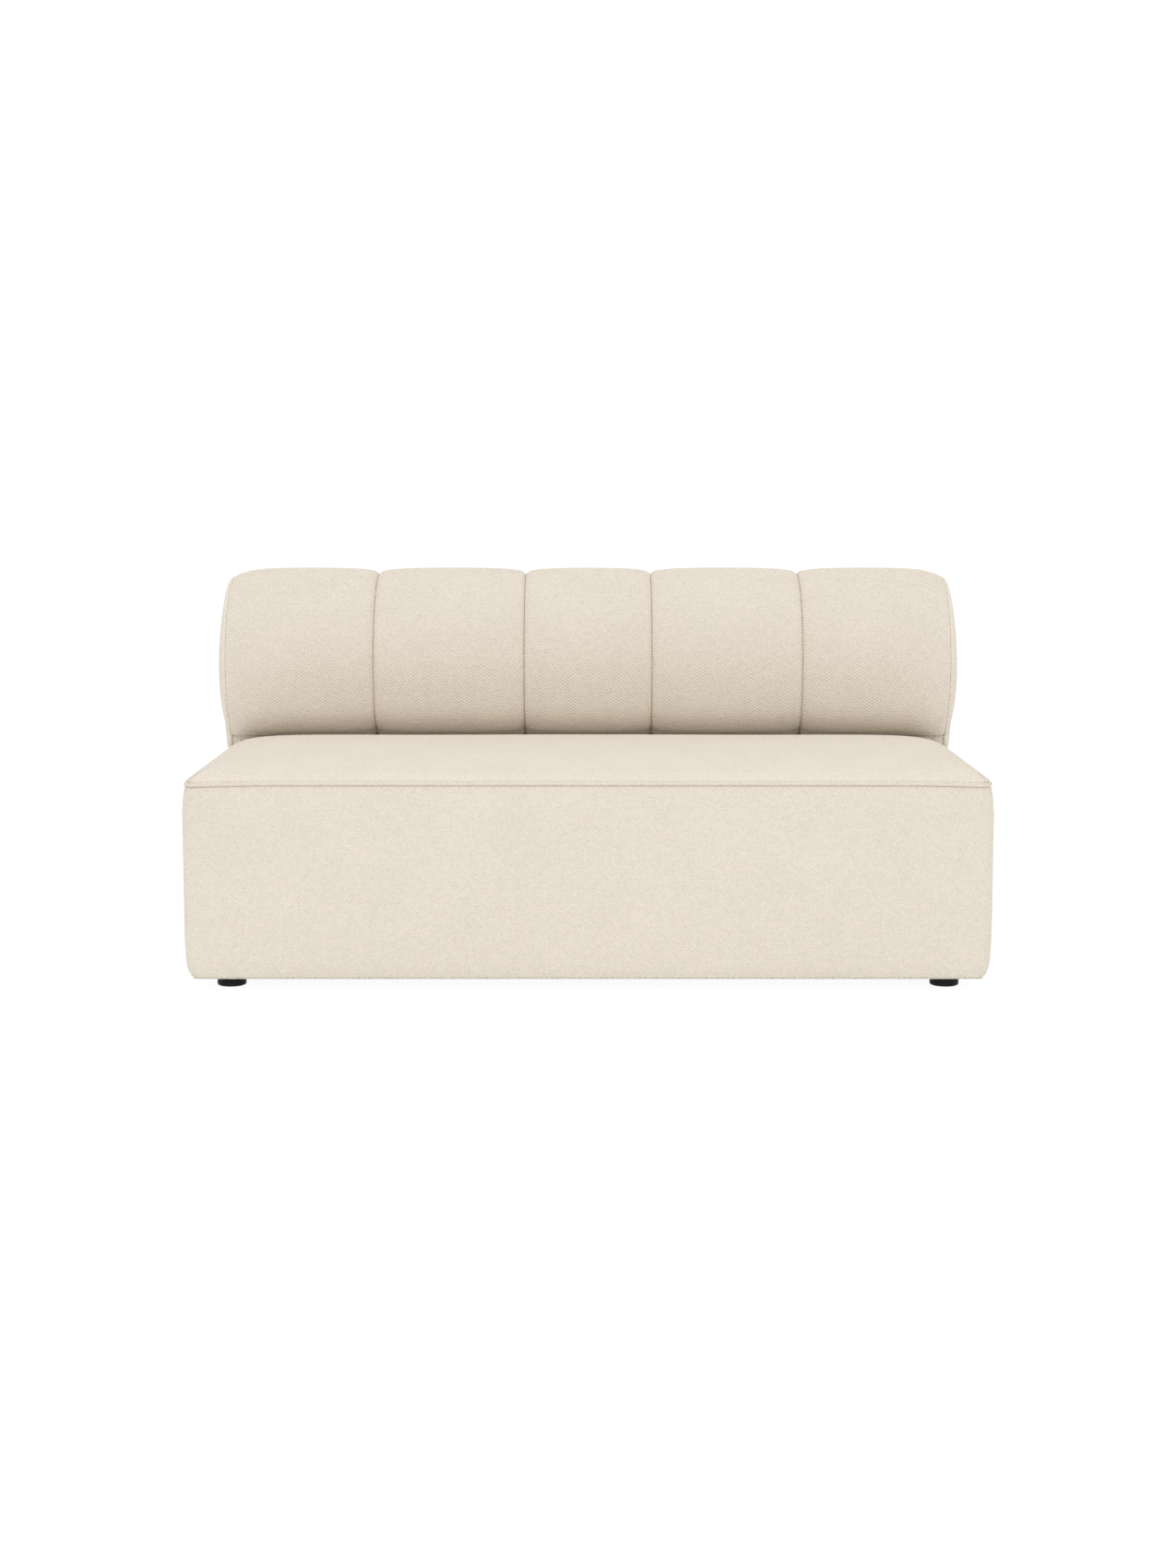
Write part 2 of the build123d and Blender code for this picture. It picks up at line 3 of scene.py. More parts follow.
import bmesh
import bpy
import numpy as np
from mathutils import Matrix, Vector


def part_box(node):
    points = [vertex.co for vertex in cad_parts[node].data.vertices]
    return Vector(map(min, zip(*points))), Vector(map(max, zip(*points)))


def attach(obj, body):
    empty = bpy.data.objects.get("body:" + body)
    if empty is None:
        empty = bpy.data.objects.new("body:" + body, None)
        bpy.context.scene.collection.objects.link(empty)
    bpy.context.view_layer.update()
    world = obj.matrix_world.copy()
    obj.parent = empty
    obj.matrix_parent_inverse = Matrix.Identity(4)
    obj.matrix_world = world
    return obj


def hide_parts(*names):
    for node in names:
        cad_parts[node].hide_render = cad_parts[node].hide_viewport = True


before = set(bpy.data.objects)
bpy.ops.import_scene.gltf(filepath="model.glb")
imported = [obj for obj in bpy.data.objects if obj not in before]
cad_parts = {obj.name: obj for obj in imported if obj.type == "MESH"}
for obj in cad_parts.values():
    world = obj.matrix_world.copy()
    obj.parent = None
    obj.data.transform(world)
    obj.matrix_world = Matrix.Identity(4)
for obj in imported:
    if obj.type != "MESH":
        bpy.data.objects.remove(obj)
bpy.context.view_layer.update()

# Camera: a long lens a little above the seat back, square to the sofa's front and pitched down.
eye = (0.0, -5.345, 1.030)
pitch = math.radians(7.015)
focal_pixels = 2670.0
frame_height_pixels = 1700.0
sensor = 36.0


def place_object(name, data):
    """New object with this data in the scene's own collection."""
    made = bpy.data.objects.new(name, data)
    bpy.context.scene.collection.objects.link(made)
    return made


camera_data = bpy.data.cameras.new("studio_camera")
camera_data.sensor_width = sensor
camera_data.lens = focal_pixels / frame_height_pixels * sensor
camera = place_object("studio_camera", camera_data)
camera.location = eye
camera.rotation_euler = (math.pi / 2 - pitch, 0, 0)
bpy.context.scene.camera = camera
bpy.context.scene.view_settings.view_transform = "Standard"


def linear(colour):
    """Linear RGBA of an sRGB hex colour such as "E9DFCE"."""
    parts = [int(colour[i : i + 2], 16) / 255 for i in (0, 2, 4)]
    parts = [c / 12.92 if c <= 0.04045 else ((c + 0.055) / 1.055) ** 2.4 for c in parts]
    return (*parts, 1.0)


def add_node(tree, kind, settings=None, inputs=None):
    """Add one node, set its properties, and set or link its inputs."""
    node = tree.nodes.new(kind)
    for key, value in (settings or {}).items():
        setattr(node, key, value)
    for key, value in (inputs or {}).items():
        if isinstance(value, bpy.types.NodeSocket):
            tree.links.new(value, node.inputs[key])
        else:
            node.inputs[key].default_value = value
    return node


def blank_material(name):
    """New material with an empty node tree, and that tree."""
    material = bpy.data.materials.new(name)
    material.use_nodes = True
    material.node_tree.nodes.clear()
    return material, material.node_tree


# Studio: an even white sky and a broad soft box in front, so that the cloth shows its own
# colour, and a white floor that gives light back and keeps a faint shadow of the sofa. From
# below the floor is clear, so that the underside can be looked at.
sky_low = 0.81
sky_high = 1.285
world = bpy.data.worlds.new("white_studio")
bpy.context.scene.world = world
world.use_nodes = True
tree = world.node_tree
tree.nodes.clear()
path = add_node(tree, "ShaderNodeLightPath")
seen = add_node(
    tree,
    "ShaderNodeMath",
    {"operation": "MAXIMUM"},
    {0: path.outputs["Is Camera Ray"], 1: path.outputs["Is Glossy Ray"]},
)
seen = add_node(
    tree,
    "ShaderNodeMath",
    {"operation": "MAXIMUM"},
    {0: seen.outputs[0], 1: path.outputs["Is Transmission Ray"]},
)
ray = add_node(tree, "ShaderNodeTexCoord")
ray = add_node(tree, "ShaderNodeSeparateXYZ", None, {0: ray.outputs["Generated"]})
level = add_node(
    tree,
    "ShaderNodeMapRange",
    None,
    {"Value": ray.outputs[2], "From Min": 0.0, "From Max": 1.0, "To Min": sky_low, "To Max": sky_high},
)
lit = add_node(tree, "ShaderNodeBackground", None, {"Color": (1, 1, 1, 1), "Strength": level.outputs[0]})
shown = add_node(tree, "ShaderNodeBackground", None, {"Color": (1, 1, 1, 1), "Strength": 1.0})
mix = add_node(
    tree, "ShaderNodeMixShader", None, {0: seen.outputs[0], 1: lit.outputs[0], 2: shown.outputs[0]}
)
add_node(tree, "ShaderNodeOutputWorld", None, {"Surface": mix.outputs[0]})

soft_box_size = (5.0, 2.2)
soft_box_place = (0.0, -4.6, 0.95)
soft_box_tilt = math.radians(90)
soft_box_power = 23.5
lamp_data = bpy.data.lights.new("soft_box", "AREA")
lamp_data.shape = "RECTANGLE"
lamp_data.size, lamp_data.size_y = soft_box_size
lamp_data.energy = soft_box_power
lamp = place_object("soft_box", lamp_data)
lamp.location = soft_box_place
lamp.rotation_euler = (soft_box_tilt, 0, 0)

floor_half = 60.0
floor_glow = 0.95
floor_share = 0.08
floor_paint = 0.45
floor_fill = 0.59
floor_mesh = bpy.data.meshes.new("studio_floor")
floor_corners = [(x * floor_half, y * floor_half, 0) for x, y in ((-1, -1), (1, -1), (1, 1), (-1, 1))]
floor_mesh.from_pydata(floor_corners, [], [(0, 1, 2, 3)])
floor = place_object("studio_floor", floor_mesh)
material, tree = blank_material("white_floor_paint")
path = add_node(tree, "ShaderNodeLightPath")
seen = add_node(
    tree,
    "ShaderNodeMath",
    {"operation": "MAXIMUM"},
    {0: path.outputs["Is Camera Ray"], 1: path.outputs["Is Glossy Ray"]},
)
paint = add_node(tree, "ShaderNodeBsdfDiffuse", None, {"Color": (floor_paint, floor_paint, floor_paint, 1)})
fill = add_node(tree, "ShaderNodeEmission", None, {"Color": (1, 1, 1, 1), "Strength": floor_fill})
paint = add_node(tree, "ShaderNodeAddShader", None, {0: paint.outputs[0], 1: fill.outputs[0]})
glow = add_node(tree, "ShaderNodeEmission", None, {"Color": (1, 1, 1, 1), "Strength": floor_glow})
faint = add_node(tree, "ShaderNodeBsdfDiffuse", None, {"Color": (floor_share, floor_share, floor_share, 1)})
both = add_node(tree, "ShaderNodeAddShader", None, {0: glow.outputs[0], 1: faint.outputs[0]})
mix = add_node(
    tree, "ShaderNodeMixShader", None, {0: seen.outputs[0], 1: paint.outputs[0], 2: both.outputs[0]}
)
side = add_node(tree, "ShaderNodeNewGeometry")
clear = add_node(tree, "ShaderNodeBsdfTransparent")
mix = add_node(
    tree, "ShaderNodeMixShader", None, {0: side.outputs["Backfacing"], 1: mix.outputs[0], 2: clear.outputs[0]}
)
add_node(tree, "ShaderNodeOutputMaterial", None, {"Surface": mix.outputs[0]})
floor_mesh.materials.append(material)

# Cover cloth: a chunky cream weave of wool and cotton, matt. Its nubs stand in a checkerboard
# that repeats every 11.2 mm along the sofa and 7.5 mm up it; each catches the light by itself.
weave_along = 0.0112
weave_up = 0.0075
nub_height = 0.0021
nub_disorder, nub_least = 0.12, 0.70
wander_scale, wander_reach = 60.0, 0.0006
fuzz_scale, fuzz_share = 700.0, 0.30
cloth_nub = "EAE1D4"
cloth_body = "E8DED0"
# The gap colour is painted shade, standing in for the shade in the hollows between the nubs.
cloth_gap_shade = "E4D9C9"
cloth, tree = blank_material("cream_chunky_weave")
place = add_node(tree, "ShaderNodeUVMap", {"uv_map": "cloth"})
wander = add_node(
    tree,
    "ShaderNodeTexNoise",
    {"noise_dimensions": "2D"},
    {"Vector": place.outputs[0], "Scale": wander_scale, "Detail": 2.0},
)
wander = add_node(
    tree,
    "ShaderNodeVectorMath",
    {"operation": "SUBTRACT"},
    {0: wander.outputs["Color"], 1: (0.5, 0.5, 0.5)},
)
wander = add_node(
    tree, "ShaderNodeVectorMath", {"operation": "SCALE"}, {0: wander.outputs[0], "Scale": wander_reach}
)
bent = add_node(
    tree, "ShaderNodeVectorMath", {"operation": "ADD"}, {0: place.outputs[0], 1: wander.outputs[0]}
)
cell = add_node(
    tree,
    "ShaderNodeVectorMath",
    {"operation": "MULTIPLY"},
    {0: bent.outputs[0], 1: (1 / weave_along, 1 / weave_up, 0)},
)
cell = add_node(tree, "ShaderNodeSeparateXYZ", None, {0: cell.outputs[0]})
across = add_node(tree, "ShaderNodeMath", {"operation": "ADD"}, {0: cell.outputs[0], 1: cell.outputs[1]})
along = add_node(
    tree, "ShaderNodeMath", {"operation": "SUBTRACT"}, {0: cell.outputs[0], 1: cell.outputs[1]}
)
grid = add_node(tree, "ShaderNodeCombineXYZ", None, {0: across.outputs[0], 1: along.outputs[0]})
nub = add_node(
    tree,
    "ShaderNodeTexVoronoi",
    {"voronoi_dimensions": "2D", "feature": "F1"},
    {"Vector": grid.outputs[0], "Scale": 1.0, "Randomness": nub_disorder},
)
swell = add_node(
    tree,
    "ShaderNodeMapRange",
    {"interpolation_type": "SMOOTHSTEP"},
    {"Value": nub.outputs["Distance"], "From Min": 0.66, "From Max": 0.05, "To Min": 0.0, "To Max": 1.0},
)
luck = add_node(tree, "ShaderNodeSeparateColor", None, {0: nub.outputs["Color"]})
lively = add_node(
    tree,
    "ShaderNodeMapRange",
    None,
    {"Value": luck.outputs[0], "From Min": 0.0, "From Max": 1.0, "To Min": nub_least, "To Max": 1.0},
)
swell = add_node(
    tree, "ShaderNodeMath", {"operation": "MULTIPLY"}, {0: swell.outputs[0], 1: lively.outputs[0]}
)
fuzz = add_node(
    tree,
    "ShaderNodeTexNoise",
    {"noise_dimensions": "2D"},
    {"Vector": place.outputs[0], "Scale": fuzz_scale, "Detail": 2.0, "Roughness": 0.6},
)
relief = add_node(
    tree,
    "ShaderNodeMath",
    {"operation": "MULTIPLY_ADD"},
    {0: fuzz.outputs["Fac"], 1: fuzz_share, 2: swell.outputs[0]},
)
bump = add_node(
    tree, "ShaderNodeBump", None, {"Strength": 1.0, "Distance": nub_height, "Height": relief.outputs[0]}
)
# The colour follows the relief: paler on the nub tops and darker in the gaps between them, which is painted
# shade in the weave's hollows.
shade = add_node(tree, "ShaderNodeValToRGB", None, {0: relief.outputs[0]})
shade.color_ramp.elements[0].position = 0.10
shade.color_ramp.elements[0].color = linear(cloth_gap_shade)
shade.color_ramp.elements[1].position = 0.95
shade.color_ramp.elements[1].color = linear(cloth_nub)
middle_stop = shade.color_ramp.elements.new(0.40)
middle_stop.color = linear(cloth_body)
cloudy = add_node(
    tree,
    "ShaderNodeTexNoise",
    {"noise_dimensions": "2D"},
    {"Vector": place.outputs[0], "Scale": 8.0, "Detail": 3.0},
)
tone = add_node(
    tree,
    "ShaderNodeMapRange",
    None,
    {"Value": cloudy.outputs["Fac"], "From Min": 0.3, "From Max": 0.7, "To Min": 0.99, "To Max": 1.01},
)
toned = add_node(
    tree, "ShaderNodeVectorMath", {"operation": "SCALE"}, {0: shade.outputs[0], "Scale": tone.outputs[0]}
)
surface = add_node(
    tree,
    "ShaderNodeBsdfPrincipled",
    None,
    {
        "Base Color": toned.outputs[0],
        "Roughness": 0.95,
        "Specular IOR Level": 0.15,
        "Sheen Weight": 0.06,
        "Sheen Roughness": 0.6,
        "Normal": bump.outputs[0],
    },
)
add_node(tree, "ShaderNodeOutputMaterial", None, {"Surface": surface.outputs[0]})

# Base cover: one band of cloth round the box over foam glued to the rails. It is sewn to the
# seat at the top, where it draws in, and is turned under the bottom edge and stapled.


def make_piece(name, points, faces, corner_uv, material):
    """Object from points, faces and a cloth map in metres for each face corner."""
    mesh = bpy.data.meshes.new(name)
    mesh.from_pydata(np.asarray(points).tolist(), [], [list(map(int, face)) for face in faces])
    layer = mesh.uv_layers.new(name="cloth")
    layer.data.foreach_set("uv", np.asarray(corner_uv, dtype=np.float32).reshape(-1))
    mesh.materials.append(material)
    mesh.polygons.foreach_set("use_smooth", [True] * len(mesh.polygons))
    mesh.update()
    return place_object(name, mesh)


def ring_piece(name, rings, ring_uv, material, cap=False):
    """Closed piece from rings of points. Without a cap its last ring joins its first."""
    rings, ring_uv = np.asarray(rings), np.asarray(ring_uv)
    count, around = rings.shape[:2]
    i, j = np.meshgrid(np.arange(count - 1 if cap else count), np.arange(around), indexing="ij")
    i, j = i.ravel(), j.ravel()
    i_next, j_next = (i + 1) % count, (j + 1) % around
    faces = np.stack((i * around + j, i * around + j_next, i_next * around + j_next, i_next * around + j), 1)
    far = ring_uv[:, -1] + (ring_uv[:, -1] - ring_uv[:, -2])
    wide = np.concatenate((ring_uv, far[:, None]), 1)
    tall = np.concatenate((wide, wide[-1:] + (wide[-1:] - wide[-2:-1])), 0)
    corner_uv = np.stack((tall[i, j], tall[i, j + 1], tall[i + 1, j + 1], tall[i + 1, j]), 1).reshape(-1, 2)
    faces = faces.tolist()
    if cap:
        faces.append(list(range(around))[::-1])
        faces.append([(count - 1) * around + k for k in range(around)])
        ends = np.concatenate((ring_uv[0][::-1], ring_uv[-1]))
        corner_uv = np.concatenate((corner_uv, ends))
    return make_piece(name, rings.reshape(-1, 3), faces, corner_uv, material)


def point_outwards(piece):
    """Turn the faces of a closed piece outwards."""
    work = bmesh.new()
    work.from_mesh(piece.data)
    bmesh.ops.recalc_face_normals(work, faces=work.faces)
    work.to_mesh(piece.data)
    work.free()


def upholster(piece, fill, *nodes):
    """Turn a padded piece's faces outwards, hide these nodes, which it stands for, and attach it to the sofa.
    """
    point_outwards(piece)
    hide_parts(*nodes)
    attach(piece, "sofa")


base_low, base_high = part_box("base_cover")
rail_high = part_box("side_rail_right")[1]
core_low, core_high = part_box("seat_foam_core")
base_x, base_y = base_high.x, base_high.y
base_bottom, seam_z = base_low.z, base_high.z
wrap_inset = base_x - rail_high.x - 0.0003
wrap_top = core_high.z
corner_radius = 0.026
heel_in, heel_up = 0.025, 0.045
turn_under = 0.045
heel_draw, heel_draw_run = 0.0024, 0.030
draw_in, draw_in_run = 0.0072, 0.024
welt_inset = 0.0046
welt_low, welt_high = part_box("base_welt")
welt_radius = (welt_high.z - welt_low.z) / 2
corner_steps = 14
side_step = 0.012
dip_depth = 0.0035
dip_reach_x, dip_reach_y = 0.10, 0.035


def corner_dip(x, y):
    """How far the seam sinks near a front corner, where the cloth is pulled tightest."""
    away = np.hypot((base_x - np.abs(x)) / dip_reach_x, (base_y + y) / dip_reach_y)
    return dip_depth * np.exp(-(away**2))


def box_loop(inset):
    """Points of the box's rounded outline at an inset, anticlockwise from the front right corner."""
    radius = max(corner_radius - inset, 0.002)
    half_x, half_y = base_x - inset - radius, base_y - inset - radius
    runs = (2 * int(round(base_y / side_step)), 2 * int(round(base_x / side_step)))
    corners = ((half_x, -half_y, -90), (half_x, half_y, 0), (-half_x, half_y, 90), (-half_x, -half_y, 180))
    loop = []
    for index, (x, y, start) in enumerate(corners):
        for step in range(corner_steps + 1):
            angle = math.radians(start + 90 * step / corner_steps)
            loop.append((x + radius * math.cos(angle), y + radius * math.sin(angle)))
        x_next, y_next, turn = corners[(index + 1) % 4]
        turn = math.radians(turn)
        end = (x_next + radius * math.cos(turn), y_next + radius * math.sin(turn))
        first = loop[-1]
        count = runs[index % 2]
        for step in range(1, count):
            share = step / count
            loop.append((first[0] + share * (end[0] - first[0]), first[1] + share * (end[1] - first[1])))
    return np.array(loop)


section = [(turn_under, base_bottom + 0.0019), (turn_under, base_bottom), (0.036, base_bottom)]
for step in range(13):
    angle = math.radians(90 * step / 12)
    section.append((heel_in * (1 - math.sin(angle)), base_bottom + heel_up * (1 - math.cos(angle))))
for height in np.linspace(base_bottom + heel_up + 0.012, seam_z - 0.055, 22):
    section.append((0.0, height))
for height in np.linspace(seam_z - 0.048, seam_z - 0.0015, 14):
    section.append((draw_in * math.exp(-(seam_z - height) / draw_in_run), height))
section += [
    (draw_in + 0.0008, seam_z - 0.0004),
    (draw_in + 0.0020, seam_z - 0.0001),
    (draw_in + 0.0032, seam_z - 0.0006),
    (draw_in + 0.0036, seam_z - 0.004),
    (draw_in + 0.0036, wrap_top + 0.0006),
    (wrap_inset, wrap_top - 0.0004),
    (wrap_inset, 0.6 * wrap_top),
    (wrap_inset, 0.2 * wrap_top),
    (wrap_inset, base_bottom + 0.0022),
]
section = np.array(section)
above_heel = np.clip(section[:, 1] - base_bottom - heel_up, 0, None)
section[:-4, 0] += heel_draw * np.exp(-above_heel[:-4] / heel_draw_run)
girth = np.concatenate(([0], np.cumsum(np.linalg.norm(np.diff(section, axis=0), axis=1))))
lap = box_loop(0.0)
lap_length = np.concatenate(([0], np.cumsum(np.linalg.norm(np.diff(lap, axis=0), axis=1))))
rings, ring_uv = [], []
for (inset, height), up in zip(section, girth):
    loop = box_loop(inset)
    rise = np.clip((height - base_bottom) / (seam_z - base_bottom), 0, 1) ** 8
    fade = np.sin(math.pi * np.clip(height / seam_z, 0, 1))
    ripple = 0.0004 * np.sin(23.0 * lap_length + 9.0 * height) * fade
    out = loop / np.maximum(np.abs(loop) / np.array([base_x, base_y]), 0.2).max(axis=1, keepdims=True)
    loop = loop + ripple[:, None] * out / np.linalg.norm(out, axis=1, keepdims=True)
    z = height - rise * corner_dip(loop[:, 0], loop[:, 1])
    rings.append(np.column_stack((loop, z)))
    ring_uv.append(np.column_stack((lap_length, np.full(len(loop), up))))
base_band = ring_piece("base_cover_band", rings, ring_uv, cloth)
upholster(base_band, 0.9, "base_cover", "base_wrap_foam")

# Seat: one cloth over a soft layer on a firm foam block. It swells from the seam within a
# hand's breadth, is fullest behind the middle, and falls away to the neck of the back.
seat_edge_x = base_x - welt_inset - 2 * welt_radius - 0.0003
seat_front_y = -(base_y - welt_inset - 2 * welt_radius - 0.0003)
seat_back_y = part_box("seat_cover")[1].y
seat_edge_rise = 0.0080
seat_shoulder = 0.0315
seat_shoulder_run = 0.028
seat_crown = 0.0216
seat_peak_y = -0.06
seat_back_fall = 0.0370
seat_crown_power = 12
seat_corner = 0.018
grid_step = 0.009
fill_pressure = 4.0
fill_frames = 20
fill_swell, fill_cap = 0.0026, 0.0048


def rim_points(grid):
    """Points round the rim of a grid, in the order that pad_piece joins them."""
    return np.concatenate((grid[0, :-1], grid[:-1, -1], grid[-1, :0:-1], grid[:0:-1, 0]))


def pad_piece(name, front, back, front_uv, material, rims=()):
    """Closed piece from a front grid, rim loops between, and a back grid of the same size."""
    rows, columns = front.shape[:2]
    index = np.arange(rows * columns).reshape(rows, columns)
    loops = [rim_points(index)]
    points = [front.reshape(-1, 3), back.reshape(-1, 3)]
    uv = [front_uv.reshape(-1, 2), front_uv.reshape(-1, 2)]
    total = 2 * rows * columns
    for loop in rims:
        loops.append(np.arange(total, total + len(loop)))
        points.append(loop)
        uv.append(rim_points(front_uv))
        total += len(loop)
    loops.append(rim_points(index) + rows * columns)
    faces = [
        np.stack((index[:-1, :-1], index[:-1, 1:], index[1:, 1:], index[1:, :-1]), 2).reshape(-1, 4),
        rows * columns
        + np.stack((index[:-1, :-1], index[1:, :-1], index[1:, 1:], index[:-1, 1:]), 2).reshape(-1, 4),
    ]
    for first, second in zip(loops[:-1], loops[1:]):
        faces.append(np.stack((first, second, np.roll(second, -1), np.roll(first, -1)), 1))
    faces = np.concatenate(faces)
    uv = np.concatenate(uv)
    return make_piece(name, np.concatenate(points), faces, uv[faces.reshape(-1)], material)


def smooth_step(value):
    """0 below 0, 1 above 1 and a smooth step between."""
    value = np.clip(value, 0, 1)
    return value * value * (3 - 2 * value)


def fill_out(piece, slack):
    """Set a padded piece in and run it through cloth simulation. Points of slack 0 stay."""
    mesh = piece.data
    count = len(mesh.vertices)
    shape, normals = np.empty(3 * count), np.empty(3 * count)
    mesh.vertices.foreach_get("co", shape)
    mesh.vertices.foreach_get("normal", normals)
    slack = np.concatenate((np.ravel(slack), np.zeros(count)))[:count]
    start = shape.reshape(-1, 3) - fill_swell * slack[:, None] * normals.reshape(-1, 3)
    mesh.vertices.foreach_set("co", start.reshape(-1))
    mesh.update()
    held = piece.vertex_groups.new(name="held")
    held.add([int(k) for k in np.flatnonzero(slack < 0.02)], 1.0, "REPLACE")
    modifier = piece.modifiers.new("fill", "CLOTH")
    modifier.settings.vertex_group_mass = "held"
    modifier.settings.use_pressure = True
    modifier.settings.uniform_pressure_force = fill_pressure
    modifier.settings.effector_weights.gravity = 0.0
    modifier.settings.quality = 4
    modifier.settings.tension_stiffness = 40.0
    modifier.settings.compression_stiffness = 40.0
    modifier.settings.bending_stiffness = 5.0
    modifier.collision_settings.use_collision = False
    modifier.point_cache.frame_start, modifier.point_cache.frame_end = 1, fill_frames
    for step in range(1, fill_frames + 1):
        bpy.context.scene.frame_set(step)
    ready = piece.evaluated_get(bpy.context.evaluated_depsgraph_get()).to_mesh()
    filled = np.empty(3 * count)
    ready.vertices.foreach_get("co", filled)
    moved = filled.reshape(-1, 3) - start
    length = np.linalg.norm(moved, axis=1, keepdims=True) + 1e-9
    moved *= fill_cap * np.tanh(length / fill_cap) / length
    piece.modifiers.remove(modifier)
    piece.vertex_groups.remove(held)
    bpy.context.scene.frame_set(1)
    low, high = shape.reshape(-1, 3).min(axis=0), shape.reshape(-1, 3).max(axis=0)
    mesh.vertices.foreach_set("co", np.clip(start + moved, low, high).reshape(-1))
    mesh.update()


def seat_height(x, y):
    """Height of the seat's cloth at a place on the seat."""
    from_side = np.clip(seat_edge_x - np.abs(x), 0, None)
    from_front = np.clip(y - seat_front_y, 0, None)
    side = 1 - np.exp(-from_side / seat_shoulder_run)
    front = 1 - np.exp(-from_front / seat_shoulder_run)
    ahead = np.clip((seat_peak_y - y) / (seat_peak_y - seat_front_y), 0, 1)
    behind = np.clip((y - seat_peak_y) / (seat_back_y - seat_peak_y), 0, 1.2)
    lobe = seat_crown * (1 - ahead**1.7) - seat_back_fall * behind**2
    lobe = lobe * (1 - np.clip(np.abs(x) / seat_edge_x, 0, 1) ** seat_crown_power)
    shoulder = seat_shoulder * np.clip(1 - ((1 - side) ** 5 + (1 - front) ** 5) ** 0.2, 0, 1)
    return seam_z + seat_edge_rise - corner_dip(x, y) + shoulder + lobe


columns = int(2 * seat_edge_x / grid_step)
rows = int((seat_back_y - seat_front_y) / grid_step)
share_x = np.linspace(-1, 1, columns)
share_x = np.sign(share_x) * (1 - (1 - np.abs(share_x)) ** 1.25)
share_y = np.linspace(0, 1, rows) ** 1.25
grid_x, grid_y = np.meshgrid(share_x * seat_edge_x, seat_front_y + share_y * (seat_back_y - seat_front_y))
near_x = np.clip((np.abs(grid_x) - seat_edge_x + seat_corner) / seat_corner, 0, 1)
near_y = np.clip((seat_front_y + seat_corner - grid_y) / seat_corner, 0, 1)
top_x = grid_x + np.sign(grid_x) * near_x * (np.sqrt(1 - near_y**2 / 2) - 1) * seat_corner
top_y = grid_y - near_y * (np.sqrt(1 - near_x**2 / 2) - 1) * seat_corner
top = np.stack((top_x, top_y, seat_height(top_x, top_y)), 2)
seat_uv = np.stack((grid_x, grid_y), 2)
under_x = grid_x * (core_high.x - 0.0003) / seat_edge_x
core_share = (seat_back_y - core_low.y) / (seat_back_y - seat_front_y)
under_y = seat_back_y - (seat_back_y - grid_y) * core_share
under = np.stack((under_x, under_y, np.full_like(top_x, core_low.z + 0.0003)), 2)
rim_top = rim_points(top)
rims = []
for height in (wrap_top + 0.002, wrap_top + 0.0008):
    loop = rim_top.copy()
    loop[:, 2] = height
    rims.append(loop)
loop = rim_points(under)
loop[:, 2] = wrap_top + 0.0006
rims.append(loop)
seat = pad_piece("seat_cushion", top, under, seat_uv, cloth, rims)
upholster(seat, 0.85, "seat_cover", "seat_comfort_layer", "seat_foam_core")
to_hem = np.minimum(seat_edge_x - np.abs(grid_x), grid_y - seat_front_y)
fill_out(seat, smooth_step(to_hem / 0.030) * smooth_step((0.060 - grid_y) / 0.080))

# Welt: a cord covered in the same cloth, sewn into the seam all round the box.
welt_steps = 12
welt_middle = (welt_low.z + welt_high.z) / 2
rings, ring_uv = [], []
for step in range(welt_steps):
    angle = 2 * math.pi * step / welt_steps
    loop = box_loop(welt_inset + welt_radius * (1 - math.cos(angle)))
    z = welt_middle + welt_radius * math.sin(angle) - corner_dip(loop[:, 0], loop[:, 1])
    rings.append(np.column_stack((loop, z)))
    ring_uv.append(np.column_stack((lap_length, np.full(len(loop), angle * welt_radius))))
welt = ring_piece("seat_welt", rings, ring_uv, cloth)
upholster(welt, 1.0, "base_welt")

# Roll of the back: five channels of cloth over foam, sewn to each other in deep seams, from the
# crease above the seat over the top to a seam on the rear. fill_out only sets them 2.6 mm in: the
# simulation moves none of their points, probably because of edges of no length in the inner skin.
crown_radius = 0.214
rear_crown_radius = 0.154
middle_low, middle_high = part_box("back_channel_middle")
end_low, end_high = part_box("end_panel_right")
top_z = middle_high.z
roll_y = middle_high.y - rear_crown_radius
roll_z = top_z - crown_radius
rear_z = top_z - rear_crown_radius
neck_y = seat_back_y
pad = top_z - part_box("roll_board")[1].z - 0.0004
pad_bottom = middle_low.z
seam_gap = 0.0003
press_gap = 0.0008
rest_sink = 0.0045
girth_step = 0.007
seam_sharp, seam_sharp_run, seam_soft, seam_soft_run = 0.010, 0.008, 0.008, 0.042
end_sharp, end_sharp_run, end_soft, end_soft_run = 0.014, 0.022, 0.009, 0.045
rear_tuck, rear_tuck_run = 0.008, 0.010
crease_tuck, crease_tuck_run, crease_start = 0.010, 0.018, 0.040
belly, belly_at, belly_run = 0.008, 0.108, 0.045

crease = math.pi + math.acos((roll_y - neck_y + 0.0005) / crown_radius)
front_angles = np.arange(math.pi / 2, crease, girth_step / crown_radius)[::-1]
front_angles = np.concatenate(([crease], front_angles))
rear_angles = np.linspace(math.pi / 2, 0, int(rear_crown_radius * math.pi / 2 / girth_step))[1:]
angles = np.concatenate((front_angles, rear_angles))
on_front = np.concatenate((np.ones(len(front_angles)), np.zeros(len(rear_angles)))).astype(bool)
radii = np.where(on_front, crown_radius, rear_crown_radius)
centres_z = np.where(on_front, roll_z, rear_z)
girth = np.concatenate(([0], np.cumsum(np.abs(np.diff(angles)) * radii[1:])))


